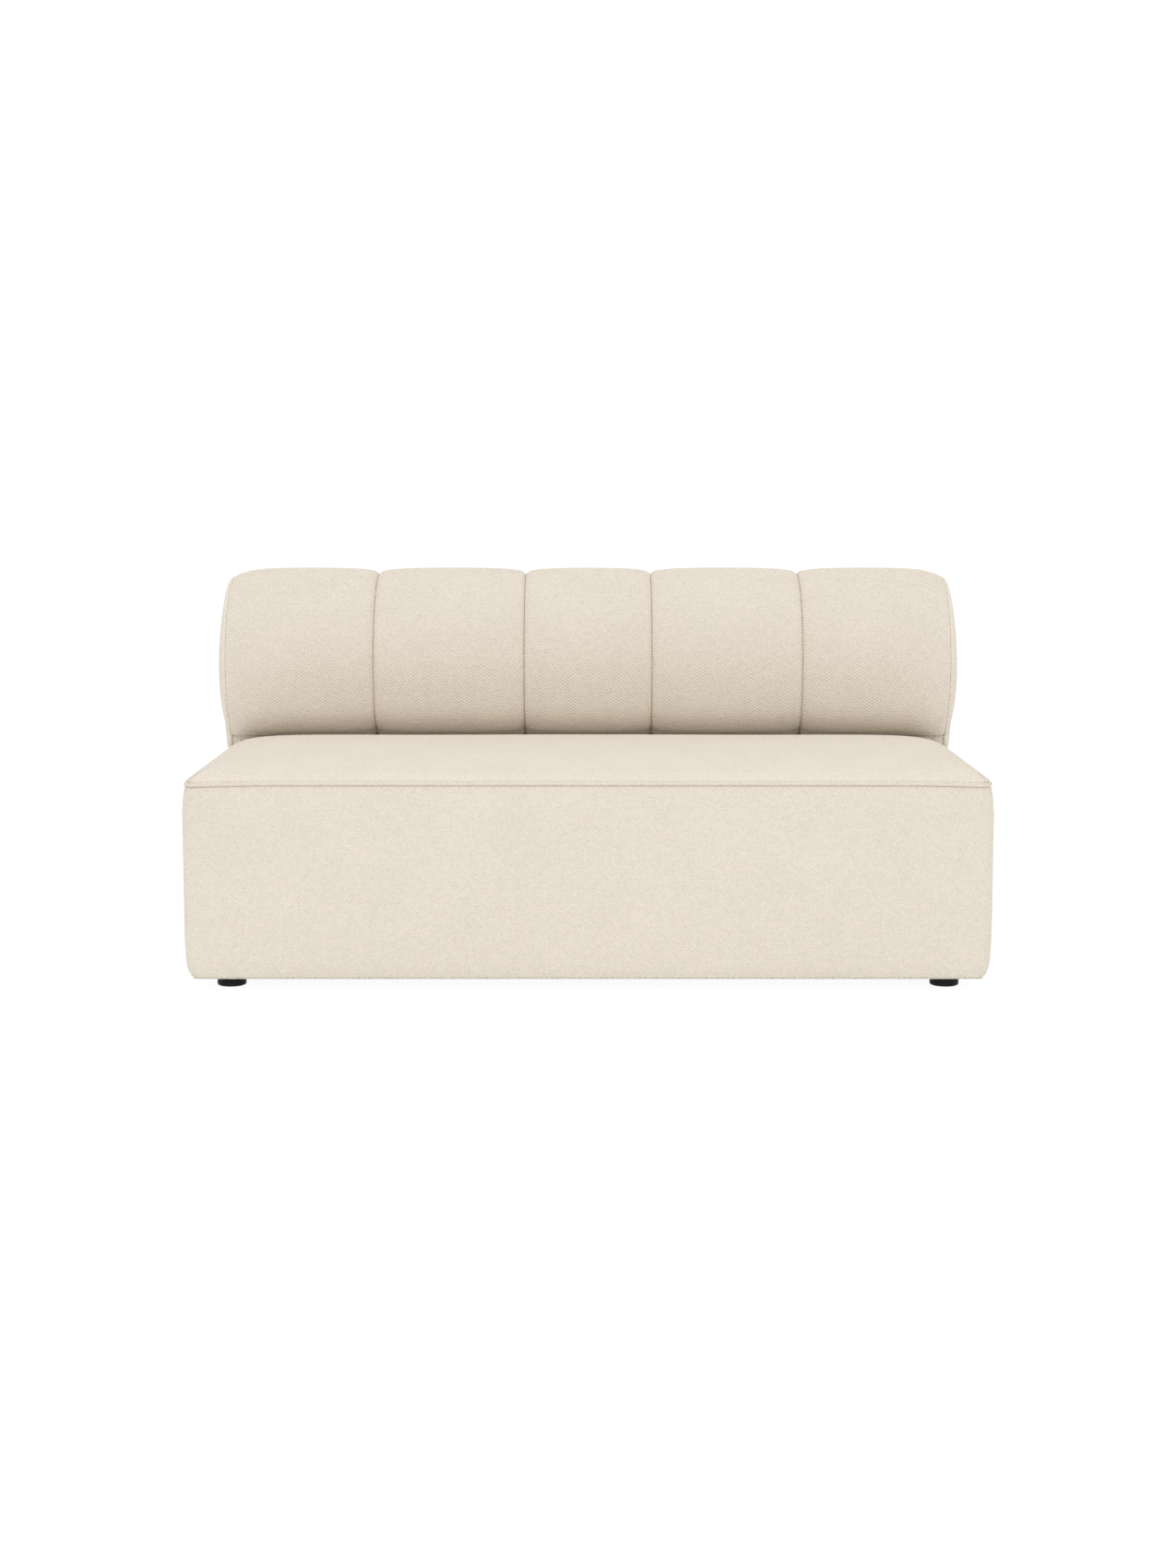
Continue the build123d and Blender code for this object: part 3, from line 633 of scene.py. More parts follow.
def channel(name, node, left_is_end, right_is_end):
    """One channel between two seams, closed round its foam."""
    low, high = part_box(node)
    left, right = low.x + seam_gap, high.x - seam_gap
    share = np.linspace(-1, 1, 57)
    share = np.sign(share) * (1 - (1 - np.abs(share)) ** 1.9)
    x = left + (share + 1) / 2 * (right - left)
    fall, full = np.zeros(len(x)), np.ones(len(x))
    for away, is_end in ((x - left, left_is_end), (right - x, right_is_end)):
        if is_end:
            full *= smooth_step(away / 0.07)
            fall += end_sharp * np.exp(-away / end_sharp_run) + end_soft * np.exp(-away / end_soft_run)
        else:
            fall += seam_sharp * np.exp(-away / seam_sharp_run) + seam_soft * np.exp(-away / seam_soft_run)
    x = np.concatenate(([x[0], x[0]], x, [x[-1], x[-1]]))
    fall = np.concatenate(([pad, fall[0] + 0.010], fall, [fall[-1] + 0.010, pad]))
    full = np.pad(full, 2, mode="edge")
    rear_fall = rear_tuck * np.exp(-(girth[-1] - girth) / rear_tuck_run)
    lips = crease_tuck * np.exp(-np.clip(girth - crease_start, 0, None) / crease_tuck_run)
    lips = lips - belly * np.exp(-(((girth - belly_at) / belly_run) ** 2))
    rows, uv = [], []
    for row in range(len(angles)):
        angle, centre_z, front = angles[row], centres_z[row], on_front[row]
        r = radii[row] - np.minimum(fall + rear_fall[row] + lips[row] * full, pad)
        y = roll_y + r * math.cos(angle)
        z = centre_z + r * math.sin(angle)
        if front and angle > math.pi:
            rest = np.maximum(seat_height(x, y) + press_gap, pad_bottom - rest_sink)
            z = np.maximum(z, rest)
            y = np.minimum(y, neck_y - 0.0005)
        rows.append(np.column_stack((x, y, z)))
        uv.append(np.column_stack((x, np.full(len(x), girth[row]))))
    for angle, centre_z, radius in list(zip(angles, centres_z, radii))[::-6]:
        r = radius - pad
        y = roll_y + r * math.cos(angle)
        z = centre_z + r * math.sin(angle)
        if angle > math.pi:
            y = min(y, neck_y - 0.0005)
            z = max(z, pad_bottom + 0.02)
        rows.append(np.column_stack((x, np.full(len(x), y), np.full(len(x), z))))
        uv.append(uv[-1])
    points = np.array(rows).transpose(1, 0, 2)
    points_uv = np.array(uv).transpose(1, 0, 2)
    to_seam = np.minimum(x - left, right - x)
    along = np.concatenate((girth, np.zeros(len(rows) - len(girth))))
    slack = smooth_step(to_seam / 0.025)[:, None] * smooth_step((along - 0.030) / 0.060)
    slack = slack * smooth_step((girth[-1] - along) / 0.040)
    return ring_piece(name, points, points_uv, cloth, cap=True), slack


channels = (
    ("roll_channel_far_left", "back_channel_far_left", True, False),
    ("roll_channel_left", "back_channel_left", False, False),
    ("roll_channel_middle", "back_channel_middle", False, False),
    ("roll_channel_right", "back_channel_right", False, False),
    ("roll_channel_far_right", "back_channel_far_right", False, True),
)
for name, node, left_is_end, right_is_end in channels:
    piece, slack = channel(name, node, left_is_end, right_is_end)
    upholster(piece, 0.8, node, *(["roll_foam"] if node == "back_channel_middle" else []))
    fill_out(piece, slack)

# End panels: a padded cloth on each end of the roll and neck, sewn to the channels in a seam
# and fullest in the middle of the roll.
end_pinch = top_z - end_high.z
end_radius = crown_radius - end_pinch
end_rear_radius = rear_crown_radius - end_pinch
end_seam_x = end_low.x
edge_swell, edge_run = 0.010, 0.012
dome_swell, dome_run = 0.0178, 0.120
waist, waist_z, waist_run = 0.36, 0.480, 0.020
dome_slack, dome_slack_from, dome_slack_run = 0.25, 0.61, 0.11
crease_z = roll_z - math.sqrt(end_radius**2 - (roll_y - neck_y) ** 2)
outline = []
start = math.pi + math.acos((roll_y - neck_y) / end_radius)
for angle in np.linspace(start, math.pi / 2, 60):
    outline.append((roll_y + end_radius * math.cos(angle), roll_z + end_radius * math.sin(angle)))
for angle in np.linspace(math.pi / 2, 0, 40)[1:]:
    outline.append((roll_y + end_rear_radius * math.cos(angle), rear_z + end_rear_radius * math.sin(angle)))
end_bottom = welt_high.z - 0.0030
foot_flare, foot_flare_run = 0.011, 0.020
for height in np.linspace(rear_z, end_bottom, 34)[1:]:
    flare = foot_flare * math.exp(-(height - end_bottom) / foot_flare_run)
    outline.append((roll_y + end_rear_radius + flare, height))
for depth in np.linspace(roll_y + end_rear_radius + foot_flare, neck_y, 34)[1:]:
    outline.append((depth, end_bottom))
for height in np.linspace(end_bottom, crease_z, 6)[1:-1]:
    outline.append((neck_y, height))
outline = np.array(outline)
centre = np.array([roll_y, roll_z])
steps = np.array([0.0, 0.0012, 0.003, 0.0055, 0.009, 0.014, 0.021, 0.030])
spokes = outline - centre
reach = np.linalg.norm(spokes, axis=1)
direction = spokes / reach[:, None]
closed_outline = np.concatenate((outline, outline[:1]))


def outline_distance(points):
    """Distance from points to the end panel's outline."""
    first, second = closed_outline[:-1], closed_outline[1:]
    run = second - first
    best = np.full(len(points), 1.0)
    for a, b in zip(first, run):
        t = np.clip(((points - a) @ b) / (b @ b), 0, 1)
        best = np.minimum(best, np.linalg.norm(points - a - t[:, None] * b, axis=1))
    return best


def dome_reach(points):
    """Depth of points inside the roll and the neck, blended so that the dome has no ridges."""
    y, z = points[:, 0], points[:, 1]
    rear_edge = roll_y + end_rear_radius
    rear_arc = end_rear_radius - np.hypot(np.clip(y - roll_y, 0, None), z - rear_z)
    in_roll = (end_radius - np.hypot(y - roll_y, z - roll_z), np.where(z > rear_z, rear_arc, rear_edge - y))
    in_neck = (y - neck_y, z - end_bottom, rear_edge - y, rear_z - z)
    roll, neck = (
        sum(np.clip(part, 1e-4, None) ** -4.0 for part in parts) ** -0.25 for parts in (in_roll, in_neck)
    )
    return (roll**4 + neck**4) ** 0.25


def end_panel(name, node, side):
    """One padded end panel, closed at its seam plane."""
    rings, uv, slack = [], [], []
    inner_share = np.linspace(1.0, 0.0, 17)[1:-1]
    flats = [outline - direction * step for step in steps]
    flats += [centre + (flats[-1] - centre) * share for share in inner_share]
    flats.append(centre + (flats[-1] - centre) * 0.02)
    for flat in flats:
        away = outline_distance(flat)
        edge = edge_swell * np.sqrt(1 - (1 - np.clip(away / edge_run, 0, 1)) ** 2)
        dome = dome_swell * (1 - (1 - np.clip(dome_reach(flat) / dome_run, 0, 1)) ** 2)
        dome *= 1 - dome_slack * np.clip((flat[:, 1] - dome_slack_from) / dome_slack_run, -1, 1)
        inward = np.clip(flat[:, 0] - neck_y, 0, None) / 0.07
        dome *= 1 - waist * np.exp(-(((flat[:, 1] - waist_z) / waist_run) ** 2) - inward)
        x = side * (end_seam_x + 0.0003 + edge + dome)
        rings.append(np.column_stack((x, flat)))
        uv.append(flat)
        slack.append(smooth_step((away - 0.002) / 0.025))
    back = []
    for flat in flats[:: len(flats) - 1]:
        x = np.full(len(flat), side * (end_seam_x + 0.0002))
        back.append(np.column_stack((x, flat)))
    rings = [back[1]] + [back[0]] + rings
    uv = [flats[-1], flats[0]] + uv
    piece = ring_piece(name, rings, uv, cloth, cap=True)
    upholster(piece, 0.8, node)
    fill_out(piece, [np.zeros(len(outline))] * 2 + slack)


end_panel("end_pad_right", "end_panel_right", 1)
end_panel("end_pad_left", "end_panel_left", -1)

# Neck: a low padded strip under the roll, behind the seat. It shows only at the seat's two
# rear corners, where the seat falls away.
neck_low, neck_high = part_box("neck_cover")
neck_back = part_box("neck_foam")[1].y
half = end_seam_x - 0.0004
x = np.linspace(-1, 1, 81)
x = np.sign(x) * (1 - (1 - np.abs(x)) ** 2.2) * half
z = np.linspace(neck_low.z + 0.001, neck_high.z - 0.001, 15)
grid_x, grid_z = np.meshgrid(x, z)
swell = 0.003 * np.exp(-(half - np.abs(grid_x)) / 0.008)
front = np.stack((grid_x, neck_low.y + swell, grid_z), 2)
back = np.stack((grid_x, np.full_like(grid_x, neck_back - 0.0004), grid_z), 2)
neck = pad_piece("neck_pad", front, back, np.stack((grid_x, grid_z), 2), cloth)
upholster(neck, 0.7, "neck_cover", "neck_foam")

# Rear of the back: one plain padded panel between the end seams, from the channels' rear seam
# down to the welt, where it is pressed in and closed by hand.
panel_low, panel_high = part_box("rear_cover")
board_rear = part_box("rear_board")[1].y
x = np.linspace(-1, 1, 141)
x = np.sign(x) * (1 - (1 - np.abs(x)) ** 1.8) * half
share = np.linspace(-1, 1, 41)
share = np.sign(share) * (1 - (1 - np.abs(share)) ** 1.6)
panel_bottom, panel_top = panel_low.z - 0.0025, panel_high.z - 0.0004
z = (panel_bottom + panel_top) / 2 + share * (panel_top - panel_bottom) / 2
grid_x, grid_z = np.meshgrid(x, z)
away = half - np.abs(grid_x)
fall = end_sharp * np.exp(-away / end_sharp_run) + end_soft * np.exp(-away / end_soft_run)
fall = fall * (1 - foot_flare / (end_sharp + end_soft) * np.exp(-(grid_z - z[0]) / foot_flare_run))
fall = fall + rear_tuck * np.exp(-(z[-1] - grid_z) / rear_tuck_run)
fall = fall + 0.013 * np.exp(-(grid_z - z[0]) / 0.010)
front = np.stack((grid_x, panel_high.y - 0.0005 - fall, grid_z), 2)
back = np.stack((grid_x, np.full_like(grid_x, board_rear + 0.0004), grid_z), 2)
rear = pad_piece("rear_pad", front, back, np.stack((grid_x, grid_z), 2), cloth)
upholster(rear, 0.8, "rear_cover", "rear_foam")
to_hem = np.minimum(away, np.minimum(z[-1] - grid_z, grid_z - z[0]))
fill_out(rear, smooth_step(to_hem / 0.030))

# Webbing: black elastic straps pulled over the frame and woven over and under each other, so
# that the seat's foam rests on them. The long ones hang on the side rails.
cross_low, cross_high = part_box("webbing_crosswise")
long_low, long_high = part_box("webbing_lengthwise")
strap_width = 0.050
strap_thickness = 0.0014
strap_layers = (long_low.z + 0.001, cross_low.z + 0.001)
cross_places = np.linspace(cross_low.x + strap_width / 2, cross_high.x - strap_width / 2, 11)
long_places = np.linspace(long_low.y + strap_width / 2, long_high.y - strap_width / 2, 4)
strap_cloth, tree = blank_material("black_elastic_webbing")
place = add_node(tree, "ShaderNodeUVMap", {"uv_map": "cloth"})
ribs = add_node(
    tree,
    "ShaderNodeTexWave",
    {"bands_direction": "Y"},
    {"Vector": place.outputs[0], "Scale": 160.0, "Distortion": 0.4},
)
bump = add_node(
    tree, "ShaderNodeBump", None, {"Strength": 0.6, "Distance": 0.0005, "Height": ribs.outputs["Fac"]}
)
shade = add_node(tree, "ShaderNodeValToRGB", None, {0: ribs.outputs["Fac"]})
shade.color_ramp.elements[0].color = linear("1B1B1C")
shade.color_ramp.elements[1].color = linear("2F2F31")
surface = add_node(
    tree,
    "ShaderNodeBsdfPrincipled",
    None,
    {"Base Color": shade.outputs[0], "Roughness": 0.8, "Normal": bump.outputs[0]},
)
add_node(tree, "ShaderNodeOutputMaterial", None, {"Surface": surface.outputs[0]})


def strap_heights(along, places, start_high, end_layer):
    """Heights of a strap that goes over and under the straps it crosses at these places."""
    stops = [place + side * strap_width / 2 for place in places for side in (-1, 1)]
    stops = [along[0]] + stops + [along[-1]]
    layers = [strap_layers[(index + start_high) % 2] for index in range(len(places))]
    ends = [strap_layers[end_layer]]
    heights = ends + [layer for layer in layers for _ in range(2)] + ends
    share = np.interp(along, stops, np.arange(len(stops)))
    low = np.minimum(share.astype(int), len(stops) - 2)
    blend = share - low
    blend = blend * blend * (3 - 2 * blend)
    heights = np.array(heights)
    return heights[low] * (1 - blend) + heights[low + 1] * blend


half_width, half_thick, soft_edge = strap_width / 2, strap_thickness / 2, 0.0004
edge_points = (
    (-half_width, -half_thick + soft_edge),
    (-half_width + soft_edge, -half_thick),
    (half_width - soft_edge, -half_thick),
    (half_width, -half_thick + soft_edge),
    (half_width, half_thick - soft_edge),
    (half_width - soft_edge, half_thick),
    (-half_width + soft_edge, half_thick),
    (-half_width, half_thick - soft_edge),
)
for way, middles, crossings, low, high, end_layer in (
    ("crosswise", cross_places, long_places, cross_low.y, cross_high.y, 1),
    ("lengthwise", long_places, cross_places, long_low.x, long_high.x, 0),
):
    along = np.linspace(low, high, int((high - low) / 0.010))
    points, faces, corner_uv = [], [], []
    for index, middle in enumerate(middles):
        heights = strap_heights(along, crossings, (index + 1 - end_layer) % 2, end_layer)
        first = len(points)
        for place_along, height in zip(along, heights):
            for across_strap, up in edge_points:
                side = middle + across_strap
                flat = (side, place_along) if end_layer else (place_along, side)
                points.append((*flat, height + up))
        count = len(edge_points)
        for i in range(len(along) - 1):
            for j in range(count):
                k = (j + 1) % count
                here, there = first + i * count, first + (i + 1) * count
                faces.append([here + j, here + k, there + k, there + j])
                width_j, width_k = edge_points[j][0], edge_points[k][0]
                corner_uv += [(width_j, along[i]), (width_k, along[i])]
                corner_uv += [(width_k, along[i + 1]), (width_j, along[i + 1])]
        faces.append([first + j for j in range(count)])
        faces.append([first + (len(along) - 1) * count + j for j in range(count)])
        corner_uv += [(width, 0.0) for width, _ in edge_points] * 2
    straps = make_piece(f"webbing_straps_{way}", points, faces, corner_uv, strap_cloth)
    straps.data.polygons.foreach_set("use_smooth", [False] * len(straps.data.polygons))
    point_outwards(straps)
    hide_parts(f"webbing_{way}")
    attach(straps, "sofa")

# Dust cloth: thin black spun-bonded cloth stretched under the box and stapled to the frame.
# It is cut out round the four feet and lies flat against the cross rails.
dust_low, dust_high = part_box("dust_cover")
dust_thickness = 0.0004
foot_low, foot_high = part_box("foot_front_right")
foot_place = ((foot_low.x + foot_high.x) / 2, (-foot_low.y - foot_high.y) / 2)
foot_hole = (foot_high.x - foot_low.x) / 2 + 0.0012
dust_cloth, tree = blank_material("black_spun_bonded_cloth")
place = add_node(tree, "ShaderNodeTexCoord")
dots = add_node(
    tree,
    "ShaderNodeTexVoronoi",
    {"feature": "F1"},
    {"Vector": place.outputs["Object"], "Scale": 500.0, "Randomness": 0.15},
)
fibres = add_node(
    tree,
    "ShaderNodeTexNoise",
    None,
    {"Vector": place.outputs["Object"], "Scale": 90.0, "Detail": 6.0, "Roughness": 0.7},
)
bump = add_node(
    tree, "ShaderNodeBump", None, {"Strength": 0.5, "Distance": 0.0003, "Height": dots.outputs["Distance"]}
)
shade = add_node(tree, "ShaderNodeValToRGB", None, {0: fibres.outputs["Fac"]})
shade.color_ramp.elements[0].position = 0.35
shade.color_ramp.elements[0].color = linear("161617")
shade.color_ramp.elements[1].position = 0.70
shade.color_ramp.elements[1].color = linear("2A2A2C")
surface = add_node(
    tree,
    "ShaderNodeBsdfPrincipled",
    None,
    {"Base Color": shade.outputs[0], "Roughness": 0.75, "Normal": bump.outputs[0]},
)
add_node(tree, "ShaderNodeOutputMaterial", None, {"Surface": surface.outputs[0]})

corner_span, corner_parts = dust_high.x - foot_place[0], 12
span_x = np.linspace(-dust_high.x, -dust_high.x + 2 * corner_span, corner_parts + 1)
span_y = np.linspace(-dust_high.y, -dust_high.y + 2 * corner_span, corner_parts + 1)
dust_x = np.concatenate((span_x, np.linspace(span_x[-1], -span_x[-1], 71)[1:-1], -span_x[::-1]))
dust_y = np.concatenate((span_y, np.linspace(span_y[-1], -span_y[-1], 33)[1:-1], -span_y[::-1]))
count_x, count_y = len(dust_x), len(dust_y)
flat_points = [(x, y) for x in dust_x for y in dust_y]
flat_faces = []
for i in range(count_x - 1):
    for j in range(count_y - 1):
        in_corner_x = i < corner_parts or i >= count_x - 1 - corner_parts
        in_corner_y = j < corner_parts or j >= count_y - 1 - corner_parts
        if not (in_corner_x and in_corner_y):
            k = i * count_y + j
            flat_faces.append((k, k + count_y, k + count_y + 1, k + 1))
for x_side, y_side in ((-1, -1), (1, -1), (1, 1), (-1, 1)):
    i_first = 0 if x_side < 0 else count_x - 1 - corner_parts
    j_first = 0 if y_side < 0 else count_y - 1 - corner_parts
    square = [(i_first + k, j_first) for k in range(corner_parts)]
    square += [(i_first + corner_parts, j_first + k) for k in range(corner_parts)]
    square += [(i_first + corner_parts - k, j_first + corner_parts) for k in range(corner_parts)]
    square += [(i_first, j_first + corner_parts - k) for k in range(corner_parts)]
    ring = [i * count_y + j for i, j in square]
    middle = np.array((x_side * foot_place[0], y_side * foot_place[1]))
    for share in (0.4, 0.75, 1.0):
        outer_points = np.array([flat_points[i * count_y + j] for i, j in square])
        away = outer_points - middle
        on_hole = middle + away / np.linalg.norm(away, axis=1, keepdims=True) * foot_hole
        next_ring = list(range(len(flat_points), len(flat_points) + len(ring)))
        flat_points += [tuple(point) for point in outer_points + share * (on_hole - outer_points)]
        for k in range(len(ring)):
            m = (k + 1) % len(ring)
            flat_faces.append((ring[k], ring[m], next_ring[m], next_ring[k]))
        ring = next_ring
used = sorted({k for face in flat_faces for k in face})
renumber = {k: index for index, k in enumerate(used)}
flat_points = [flat_points[k] for k in used]
flat_faces = [[renumber[k] for k in face] for face in flat_faces]
dust_middle = (dust_low.z + dust_high.z) / 2
lower = [(x, y, dust_middle - dust_thickness / 2) for x, y in flat_points]
upper = [(x, y, dust_middle + dust_thickness / 2) for x, y in flat_points]
total = len(flat_points)
faces = [face[::-1] for face in flat_faces] + [[k + total for k in face] for face in flat_faces]
sides = {(face[k], face[(k + 1) % 4]) for face in flat_faces for k in range(4)}
faces += [[a, b, b + total, a + total] for a, b in sides if (b, a) not in sides]
corner_uv = [flat_points[k % total] for face in faces for k in face]
dust_sheet = make_piece("dust_cloth_sheet", lower + upper, faces, corner_uv, dust_cloth)
dust_sheet.data.polygons.foreach_set("use_smooth", [False] * len(dust_sheet.data.polygons))
point_outwards(dust_sheet)
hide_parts("dust_cover")
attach(dust_sheet, "sofa")

# Timber of the frame: birch plywood rails and formers, planed pine blocks and hardboard. The
# grain is a few millimetres wide and runs along each piece's longest side.
birch = ("birch_plywood", "D2B284", "B98F5E", 0.55, 90.0)
pine = ("planed_pine", "DDBB85", "BE8B52", 0.50, 45.0)
pressed = ("hardboard", "7A5232", "5F3E25", 0.45, 400.0)
timber_nodes = {
    birch: "back_base_board back_former_end_left back_former_end_right back_former_left back_former_middle "
    "back_former_right cross_rail_left cross_rail_right front_rail rear_rail seat_rear_rail side_rail_left "
    "side_rail_right",
    pine: "back_batten_front back_batten_low back_batten_top cleat_front cleat_rear corner_block_front_left "
    "corner_block_front_right corner_block_rear_left corner_block_rear_right link_blocks",
    pressed: "neck_board rear_board roll_board",
}
timbers = {}
for (wood, pale, dark, roughness, fineness), names in timber_nodes.items():
    for node in names.split():
        low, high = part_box(node)
        sizes = [high[k] - low[k] for k in range(3)]
        longest = sizes.index(max(sizes))
        if (wood, longest) not in timbers:
            # Fine streaks along the grain in two close tones, with slow paler and darker bands.
            material, tree = blank_material(f"{wood}_{'xyz'[longest]}")
            place = add_node(tree, "ShaderNodeTexCoord")
            stretch = [1.0, 1.0, 1.0]
            stretch[longest] = 1.0 if wood == "hardboard" else 0.05
            drawn_out = add_node(
                tree,
                "ShaderNodeVectorMath",
                {"operation": "MULTIPLY"},
                {0: place.outputs["Object"], 1: stretch},
            )
            grain = add_node(
                tree,
                "ShaderNodeTexNoise",
                None,
                {"Vector": drawn_out.outputs[0], "Scale": fineness, "Detail": 5.0, "Roughness": 0.65},
            )
            shade = add_node(tree, "ShaderNodeValToRGB", None, {0: grain.outputs["Fac"]})
            shade.color_ramp.elements[0].position = 0.32
            shade.color_ramp.elements[0].color = linear(dark)
            shade.color_ramp.elements[1].position = 0.68
            shade.color_ramp.elements[1].color = linear(pale)
            bump = add_node(
                tree,
                "ShaderNodeBump",
                None,
                {"Strength": 0.4, "Distance": 0.0003, "Height": grain.outputs["Fac"]},
            )
            surface = add_node(
                tree,
                "ShaderNodeBsdfPrincipled",
                None,
                {"Base Color": shade.outputs[0], "Roughness": roughness, "Normal": bump.outputs[0]},
            )
            add_node(tree, "ShaderNodeOutputMaterial", None, {"Surface": surface.outputs[0]})
            timbers[wood, longest] = material
        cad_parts[node].data.materials[0] = timbers[wood, longest]

# Feet: moulded black polypropylene glides. The satin skin has a fine spark-eroded grain about
# 0.4 mm across, which softens the highlight on the rounded lower edge.
feet_plastic, tree = blank_material("black_moulded_polypropylene")
place = add_node(tree, "ShaderNodeTexCoord")
grain = add_node(
    tree, "ShaderNodeTexNoise", None, {"Vector": place.outputs["Object"], "Scale": 2500.0, "Detail": 2.0}
)
bump = add_node(
    tree, "ShaderNodeBump", None, {"Strength": 0.3, "Distance": 0.0001, "Height": grain.outputs["Fac"]}
)
shade = add_node(tree, "ShaderNodeValToRGB", None, {0: grain.outputs["Fac"]})
shade.color_ramp.elements[0].color = linear("070707")
shade.color_ramp.elements[1].color = linear("111112")
surface = add_node(
    tree,
    "ShaderNodeBsdfPrincipled",
    None,
    {
        "Base Color": shade.outputs[0],
        "Roughness": 0.55,
        "IOR": 1.49,
        "Specular IOR Level": 0.2,
        "Normal": bump.outputs[0],
    },
)
add_node(tree, "ShaderNodeOutputMaterial", None, {"Surface": surface.outputs[0]})
for node in ("foot_front_left", "foot_front_right", "foot_rear_left", "foot_rear_right"):
    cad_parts[node].data.materials[0] = feet_plastic

# Hardware: zinc-plated pressed steel link plates and hooks, studs, bolts and nuts. The plating
# is a cool pale grey with cloudy patches a few millimetres wide that blur what it reflects.
zinc, tree = blank_material("zinc_plated_steel")
place = add_node(tree, "ShaderNodeTexCoord")
patches = add_node(
    tree,
    "ShaderNodeTexNoise",
    None,
    {"Vector": place.outputs["Object"], "Scale": 260.0, "Detail": 4.0, "Roughness": 0.6},
)
shade = add_node(tree, "ShaderNodeValToRGB", None, {0: patches.outputs["Fac"]})
shade.color_ramp.elements[0].position = 0.3
shade.color_ramp.elements[0].color = linear("A7ABAE")
shade.color_ramp.elements[1].position = 0.7
shade.color_ramp.elements[1].color = linear("C6C9CB")
blur = add_node(
    tree,
    "ShaderNodeMapRange",
    None,
    {"Value": patches.outputs["Fac"], "From Min": 0.3, "From Max": 0.7, "To Min": 0.28, "To Max": 0.46},
)
surface = add_node(
    tree,
    "ShaderNodeBsdfPrincipled",
    None,
    {"Base Color": shade.outputs[0], "Metallic": 1.0, "Roughness": blur.outputs[0]},
)
add_node(tree, "ShaderNodeOutputMaterial", None, {"Surface": surface.outputs[0]})
steel_nodes = (
    "back_bolts back_nuts foot_studs link_hook_front link_hook_rear link_pivot_plate_front "
    "link_pivot_plate_rear link_stud_plate_front link_stud_plate_rear"
)
for node in steel_nodes.split():
    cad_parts[node].data.materials[0] = zinc

# Staples: wire staples shot through the turned-under cover into the rails, and through the dust
# cloth into the cross rails, one every 45 mm and each a little askew.
staple_spacing = 0.045
staple_crown, staple_wire, staple_leg = 0.010, 0.0012, 0.0007
staple_depth = 0.0007
staple_skew = math.radians(7)
cover_line = 0.030
dust_bottom = dust_middle - dust_thickness / 2
lines = []
line_x, line_y = base_x - cover_line, base_y - cover_line
end_x, end_y = line_x - 0.02, line_y - 0.02
for sign in (-1, 1):
    lines.append(((-end_x, sign * line_y, base_bottom), (end_x, sign * line_y, base_bottom)))
    lines.append(((sign * line_x, -end_y, base_bottom), (sign * line_x, end_y, base_bottom)))
rail_x = sum(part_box("cross_rail_right")[k].x for k in (0, 1)) / 2
rail_front, rail_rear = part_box("cross_rail_right")[0].y + 0.03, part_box("cross_rail_right")[1].y - 0.02
for sign in (-1, 1):
    lines.append(((sign * rail_x, rail_front, dust_bottom), (sign * rail_x, rail_rear, dust_bottom)))
guide_mesh = bpy.data.meshes.new("staple_lines")
guide_mesh.from_pydata(
    [point for line in lines for point in line], [(2 * k, 2 * k + 1) for k in range(len(lines))], []
)
guide = place_object("staple_lines", guide_mesh)

half_crown, half_wire = staple_crown / 2, staple_wire / 2
bend = 0.0005
profile = [
    (-half_crown, staple_leg),
    (-half_crown, -staple_depth + bend),
    (-half_crown + bend, -staple_depth),
    (half_crown - bend, -staple_depth),
    (half_crown, -staple_depth + bend),
    (half_crown, staple_leg),
]
inner = [
    (-half_crown + staple_depth, staple_leg),
    (-half_crown + staple_depth, 0.0),
    (-half_crown + staple_depth + bend / 2, 0.0),
    (half_crown - staple_depth - bend / 2, 0.0),
    (half_crown - staple_depth, 0.0),
    (half_crown - staple_depth, staple_leg),
]
points, faces = [], []
for side in (-half_wire, half_wire):
    points += [(x, side, z) for x, z in profile] + [(x, side, z) for x, z in inner]
steps = len(profile)
for k in range(steps - 1):
    a, b, c, d = k, k + 1, steps + k + 1, steps + k
    faces.append((a, b, c, d))
    faces.append(tuple(2 * steps + v for v in (d, c, b, a)))
    faces.append((a, 2 * steps + a, 2 * steps + b, b))
    faces.append((d, c, 2 * steps + c, 2 * steps + d))
faces.append((0, steps, 3 * steps, 2 * steps))
faces.append((steps - 1, 3 * steps - 1, 4 * steps - 1, 2 * steps - 1))
staple_mesh = bpy.data.meshes.new("staple_shape")
staple_mesh.from_pydata(points, [], faces)
staple = place_object("staple_shape", staple_mesh)
point_outwards(staple)


def growing_tree(name, guide_label, inputs):
    """New Geometry Nodes tree with named inputs, and its input node."""
    tree = bpy.data.node_groups.new(name, "GeometryNodeTree")
    tree.interface.new_socket("Geometry", in_out="OUTPUT", socket_type="NodeSocketGeometry")
    for label, kind in ((guide_label, "Geometry"), *inputs, ("Seed", "Int"), ("Material", "Material")):
        tree.interface.new_socket(label, in_out="INPUT", socket_type=f"NodeSocket{kind}")
    return tree, add_node(tree, "NodeGroupInput")


def set_out(tree, given, points, shape, rotation):
    """End a tree: a shape on each point, as one real mesh with the given material."""
    shape = add_node(tree, "GeometryNodeObjectInfo", None, {"Object": shape})
    placed = add_node(
        tree,
        "GeometryNodeInstanceOnPoints",
        None,
        {"Points": points, "Instance": shape.outputs["Geometry"], "Rotation": rotation},
    )
    real = add_node(tree, "GeometryNodeRealizeInstances", None, {0: placed.outputs[0]})
    dress = {"Geometry": real.outputs[0], "Material": given.outputs["Material"]}
    dressed = add_node(tree, "GeometryNodeSetMaterial", None, dress)
    add_node(tree, "NodeGroupOutput", None, {0: dressed.outputs[0]})


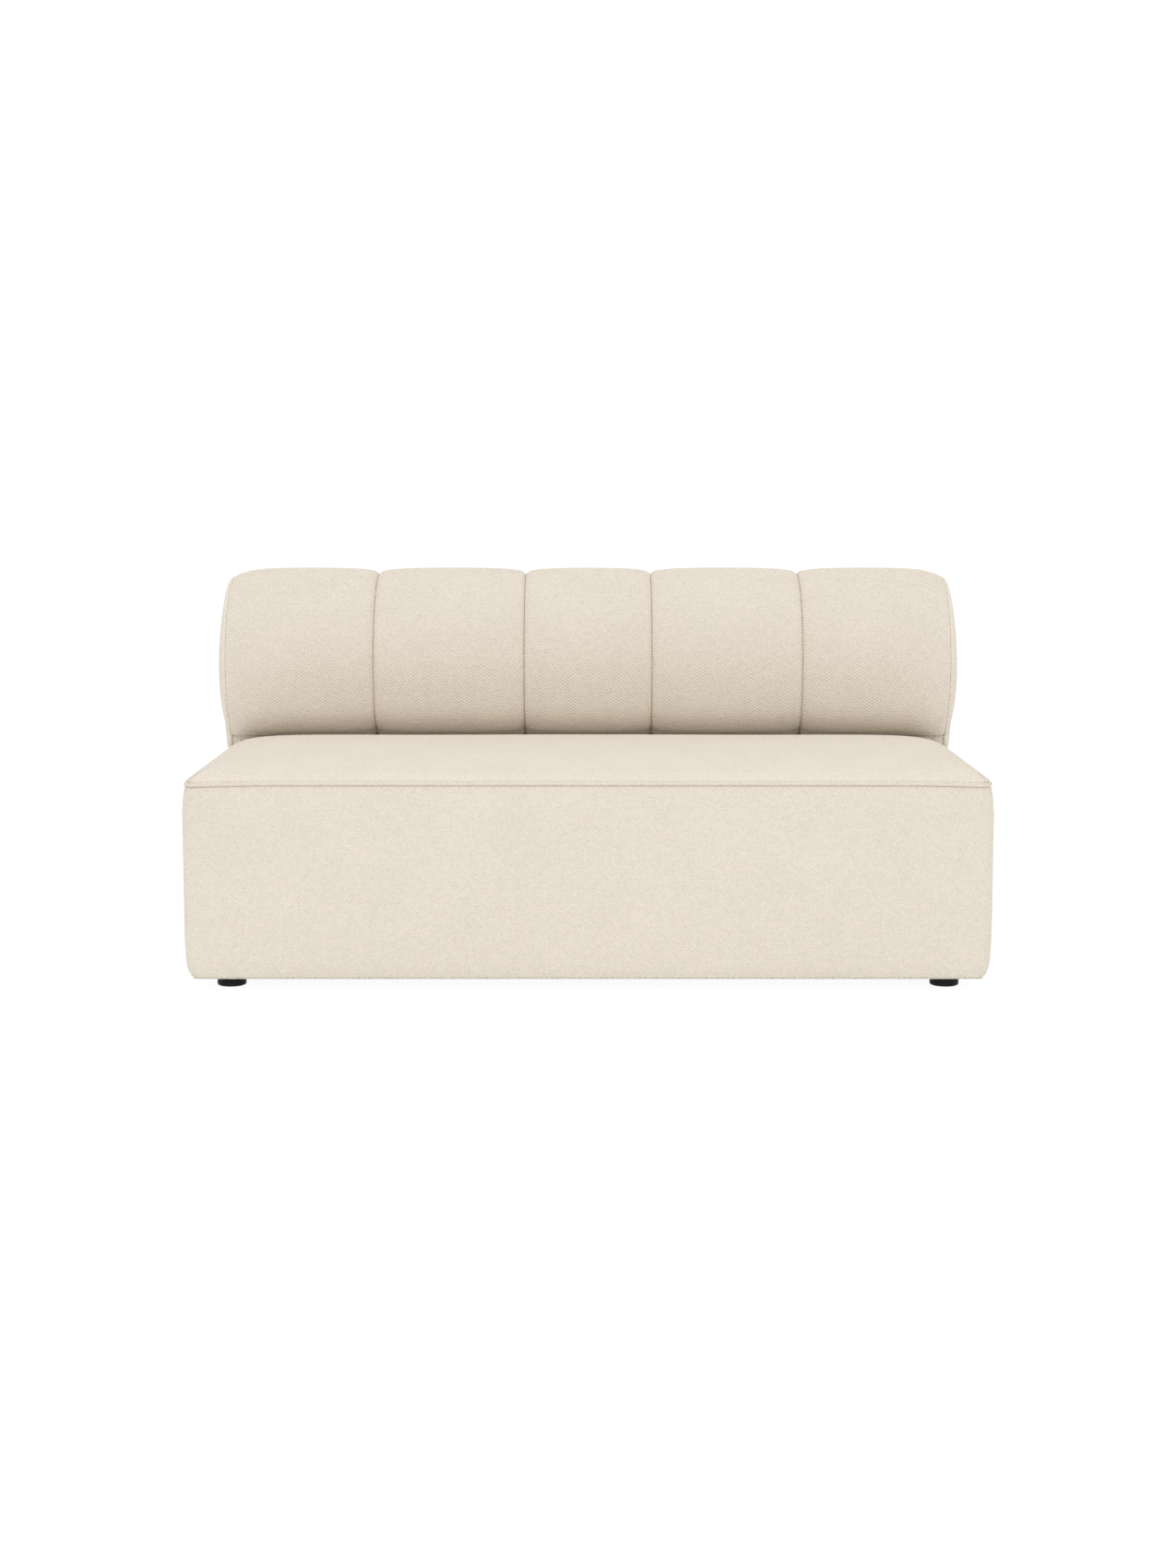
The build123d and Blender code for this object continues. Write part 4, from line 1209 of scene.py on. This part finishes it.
tree, given = growing_tree(
    "staples_along_lines", "Lines", (("Staple", "Object"), ("Spacing", "Float"), ("Skew", "Float"))
)
curve = add_node(tree, "GeometryNodeMeshToCurve", None, {0: given.outputs["Lines"]})
shots = add_node(
    tree,
    "GeometryNodeCurveToPoints",
    {"mode": "LENGTH"},
    {"Curve": curve.outputs[0], "Length": given.outputs["Spacing"]},
)
turned = add_node(
    tree,
    "FunctionNodeAlignRotationToVector",
    {"axis": "X", "pivot_axis": "Z"},
    {"Vector": shots.outputs["Tangent"]},
)
least = add_node(tree, "ShaderNodeMath", {"operation": "MULTIPLY"}, {0: given.outputs["Skew"], 1: -1.0})
chance = add_node(tree, "FunctionNodeRandomValue", {"data_type": "FLOAT"}, {"Seed": given.outputs["Seed"]})
tree.links.new(least.outputs[0], chance.inputs[2])
tree.links.new(given.outputs["Skew"], chance.inputs[3])
askew = add_node(
    tree, "FunctionNodeAxisAngleToRotation", None, {"Axis": (0, 0, 1), "Angle": chance.outputs[1]}
)
turned = add_node(
    tree,
    "FunctionNodeRotateRotation",
    {"rotation_space": "LOCAL"},
    {0: turned.outputs[0], 1: askew.outputs[0]},
)
set_out(tree, given, shots.outputs["Points"], given.outputs["Staple"], turned.outputs[0])


def grown(name, guide, tree, values):
    """Plain mesh object from a Geometry Nodes tree on a guide object, which is then removed."""
    modifier = guide.modifiers.new(name, "NODES")
    modifier.node_group = tree
    for item in tree.interface.items_tree:
        if item.in_out == "INPUT" and item.name in values:
            modifier[item.identifier] = values[item.name]
    bpy.context.view_layer.update()
    ready = guide.evaluated_get(bpy.context.evaluated_depsgraph_get())
    mesh = bpy.data.meshes.new_from_object(ready)
    mesh.name = name
    guide.modifiers.clear()
    bpy.data.objects.remove(guide)
    return place_object(name, mesh)


staples = grown(
    "cover_staples",
    guide,
    tree,
    {"Staple": staple, "Spacing": staple_spacing, "Skew": staple_skew, "Seed": 7, "Material": zinc},
)
bpy.data.objects.remove(staple)
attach(staples, "sofa")

# Screws: four countersunk cross-head screws hold each link plate to its block. Their heads lie
# flush, a hair proud of the plate, and each stopped at its own angle.
plate_low, plate_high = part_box("link_stud_plate_front")
plate_face = plate_high.z - 0.003
screw_radius, screw_proud, screw_sunk = 0.0040, 0.0002, 0.0006
recess_half, recess_width, recess_depth = 0.0021, 0.0005, 0.0005
plate_middle = ((plate_low.x + plate_high.x) / 2, (plate_low.y + plate_high.y) / 2)
screw_out = ((plate_high.x - plate_low.x) / 2 - 0.008, (plate_high.y - plate_low.y) / 2 - 0.008)
screw_places = [
    (x_plate * plate_middle[0] + i * screw_out[0], y_plate * plate_middle[1] + j * screw_out[1], plate_face)
    for x_plate in (-1, 1)
    for y_plate in (-1, 1)
    for i in (-1, 1)
    for j in (-1, 1)
]
guide_mesh = bpy.data.meshes.new("screw_places")
guide_mesh.from_pydata(screw_places, [], [])
guide = place_object("screw_places", guide_mesh)

cross = []
for quarter in range(4):
    angle = quarter * math.pi / 2
    for x, y in ((recess_width, -recess_width), (recess_half, -recess_width), (recess_half, recess_width)):
        cross.append((x * math.cos(angle) - y * math.sin(angle), x * math.sin(angle) + y * math.cos(angle)))
around = [math.atan2(y, x) for x, y in cross]
edge = [(screw_radius * math.cos(a), screw_radius * math.sin(a)) for a in around]
loops = [
    [(x, y, -screw_proud + recess_depth) for x, y in cross],
    [(x, y, -screw_proud) for x, y in cross],
    [(0.8 * x, 0.8 * y, -screw_proud) for x, y in edge],
    [(x, y, 0.0) for x, y in edge],
    [(0.85 * x, 0.85 * y, screw_sunk) for x, y in edge],
]
points = [point for loop in loops for point in loop]
count = len(cross)
faces = [
    (i * count + j, i * count + (j + 1) % count, (i + 1) * count + (j + 1) % count, (i + 1) * count + j)
    for i in range(len(loops) - 1)
    for j in range(count)
]
faces += [tuple(range(count)), tuple(range(len(points) - count, len(points)))]
head_mesh = bpy.data.meshes.new("screw_head")
head_mesh.from_pydata(points, [], faces)
head = place_object("screw_head", head_mesh)
point_outwards(head)

tree, given = growing_tree("screws_at_places", "Places", (("Head", "Object"),))
chance = add_node(tree, "FunctionNodeRandomValue", {"data_type": "FLOAT"}, {"Seed": given.outputs["Seed"]})
chance.inputs[3].default_value = math.pi
turned = add_node(
    tree, "FunctionNodeAxisAngleToRotation", None, {"Axis": (0, 0, 1), "Angle": chance.outputs[1]}
)
set_out(tree, given, given.outputs["Places"], given.outputs["Head"], turned.outputs[0])
screws = grown("plate_screws", guide, tree, {"Head": head, "Seed": 3, "Material": zinc})
bpy.data.objects.remove(head)
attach(screws, "sofa")
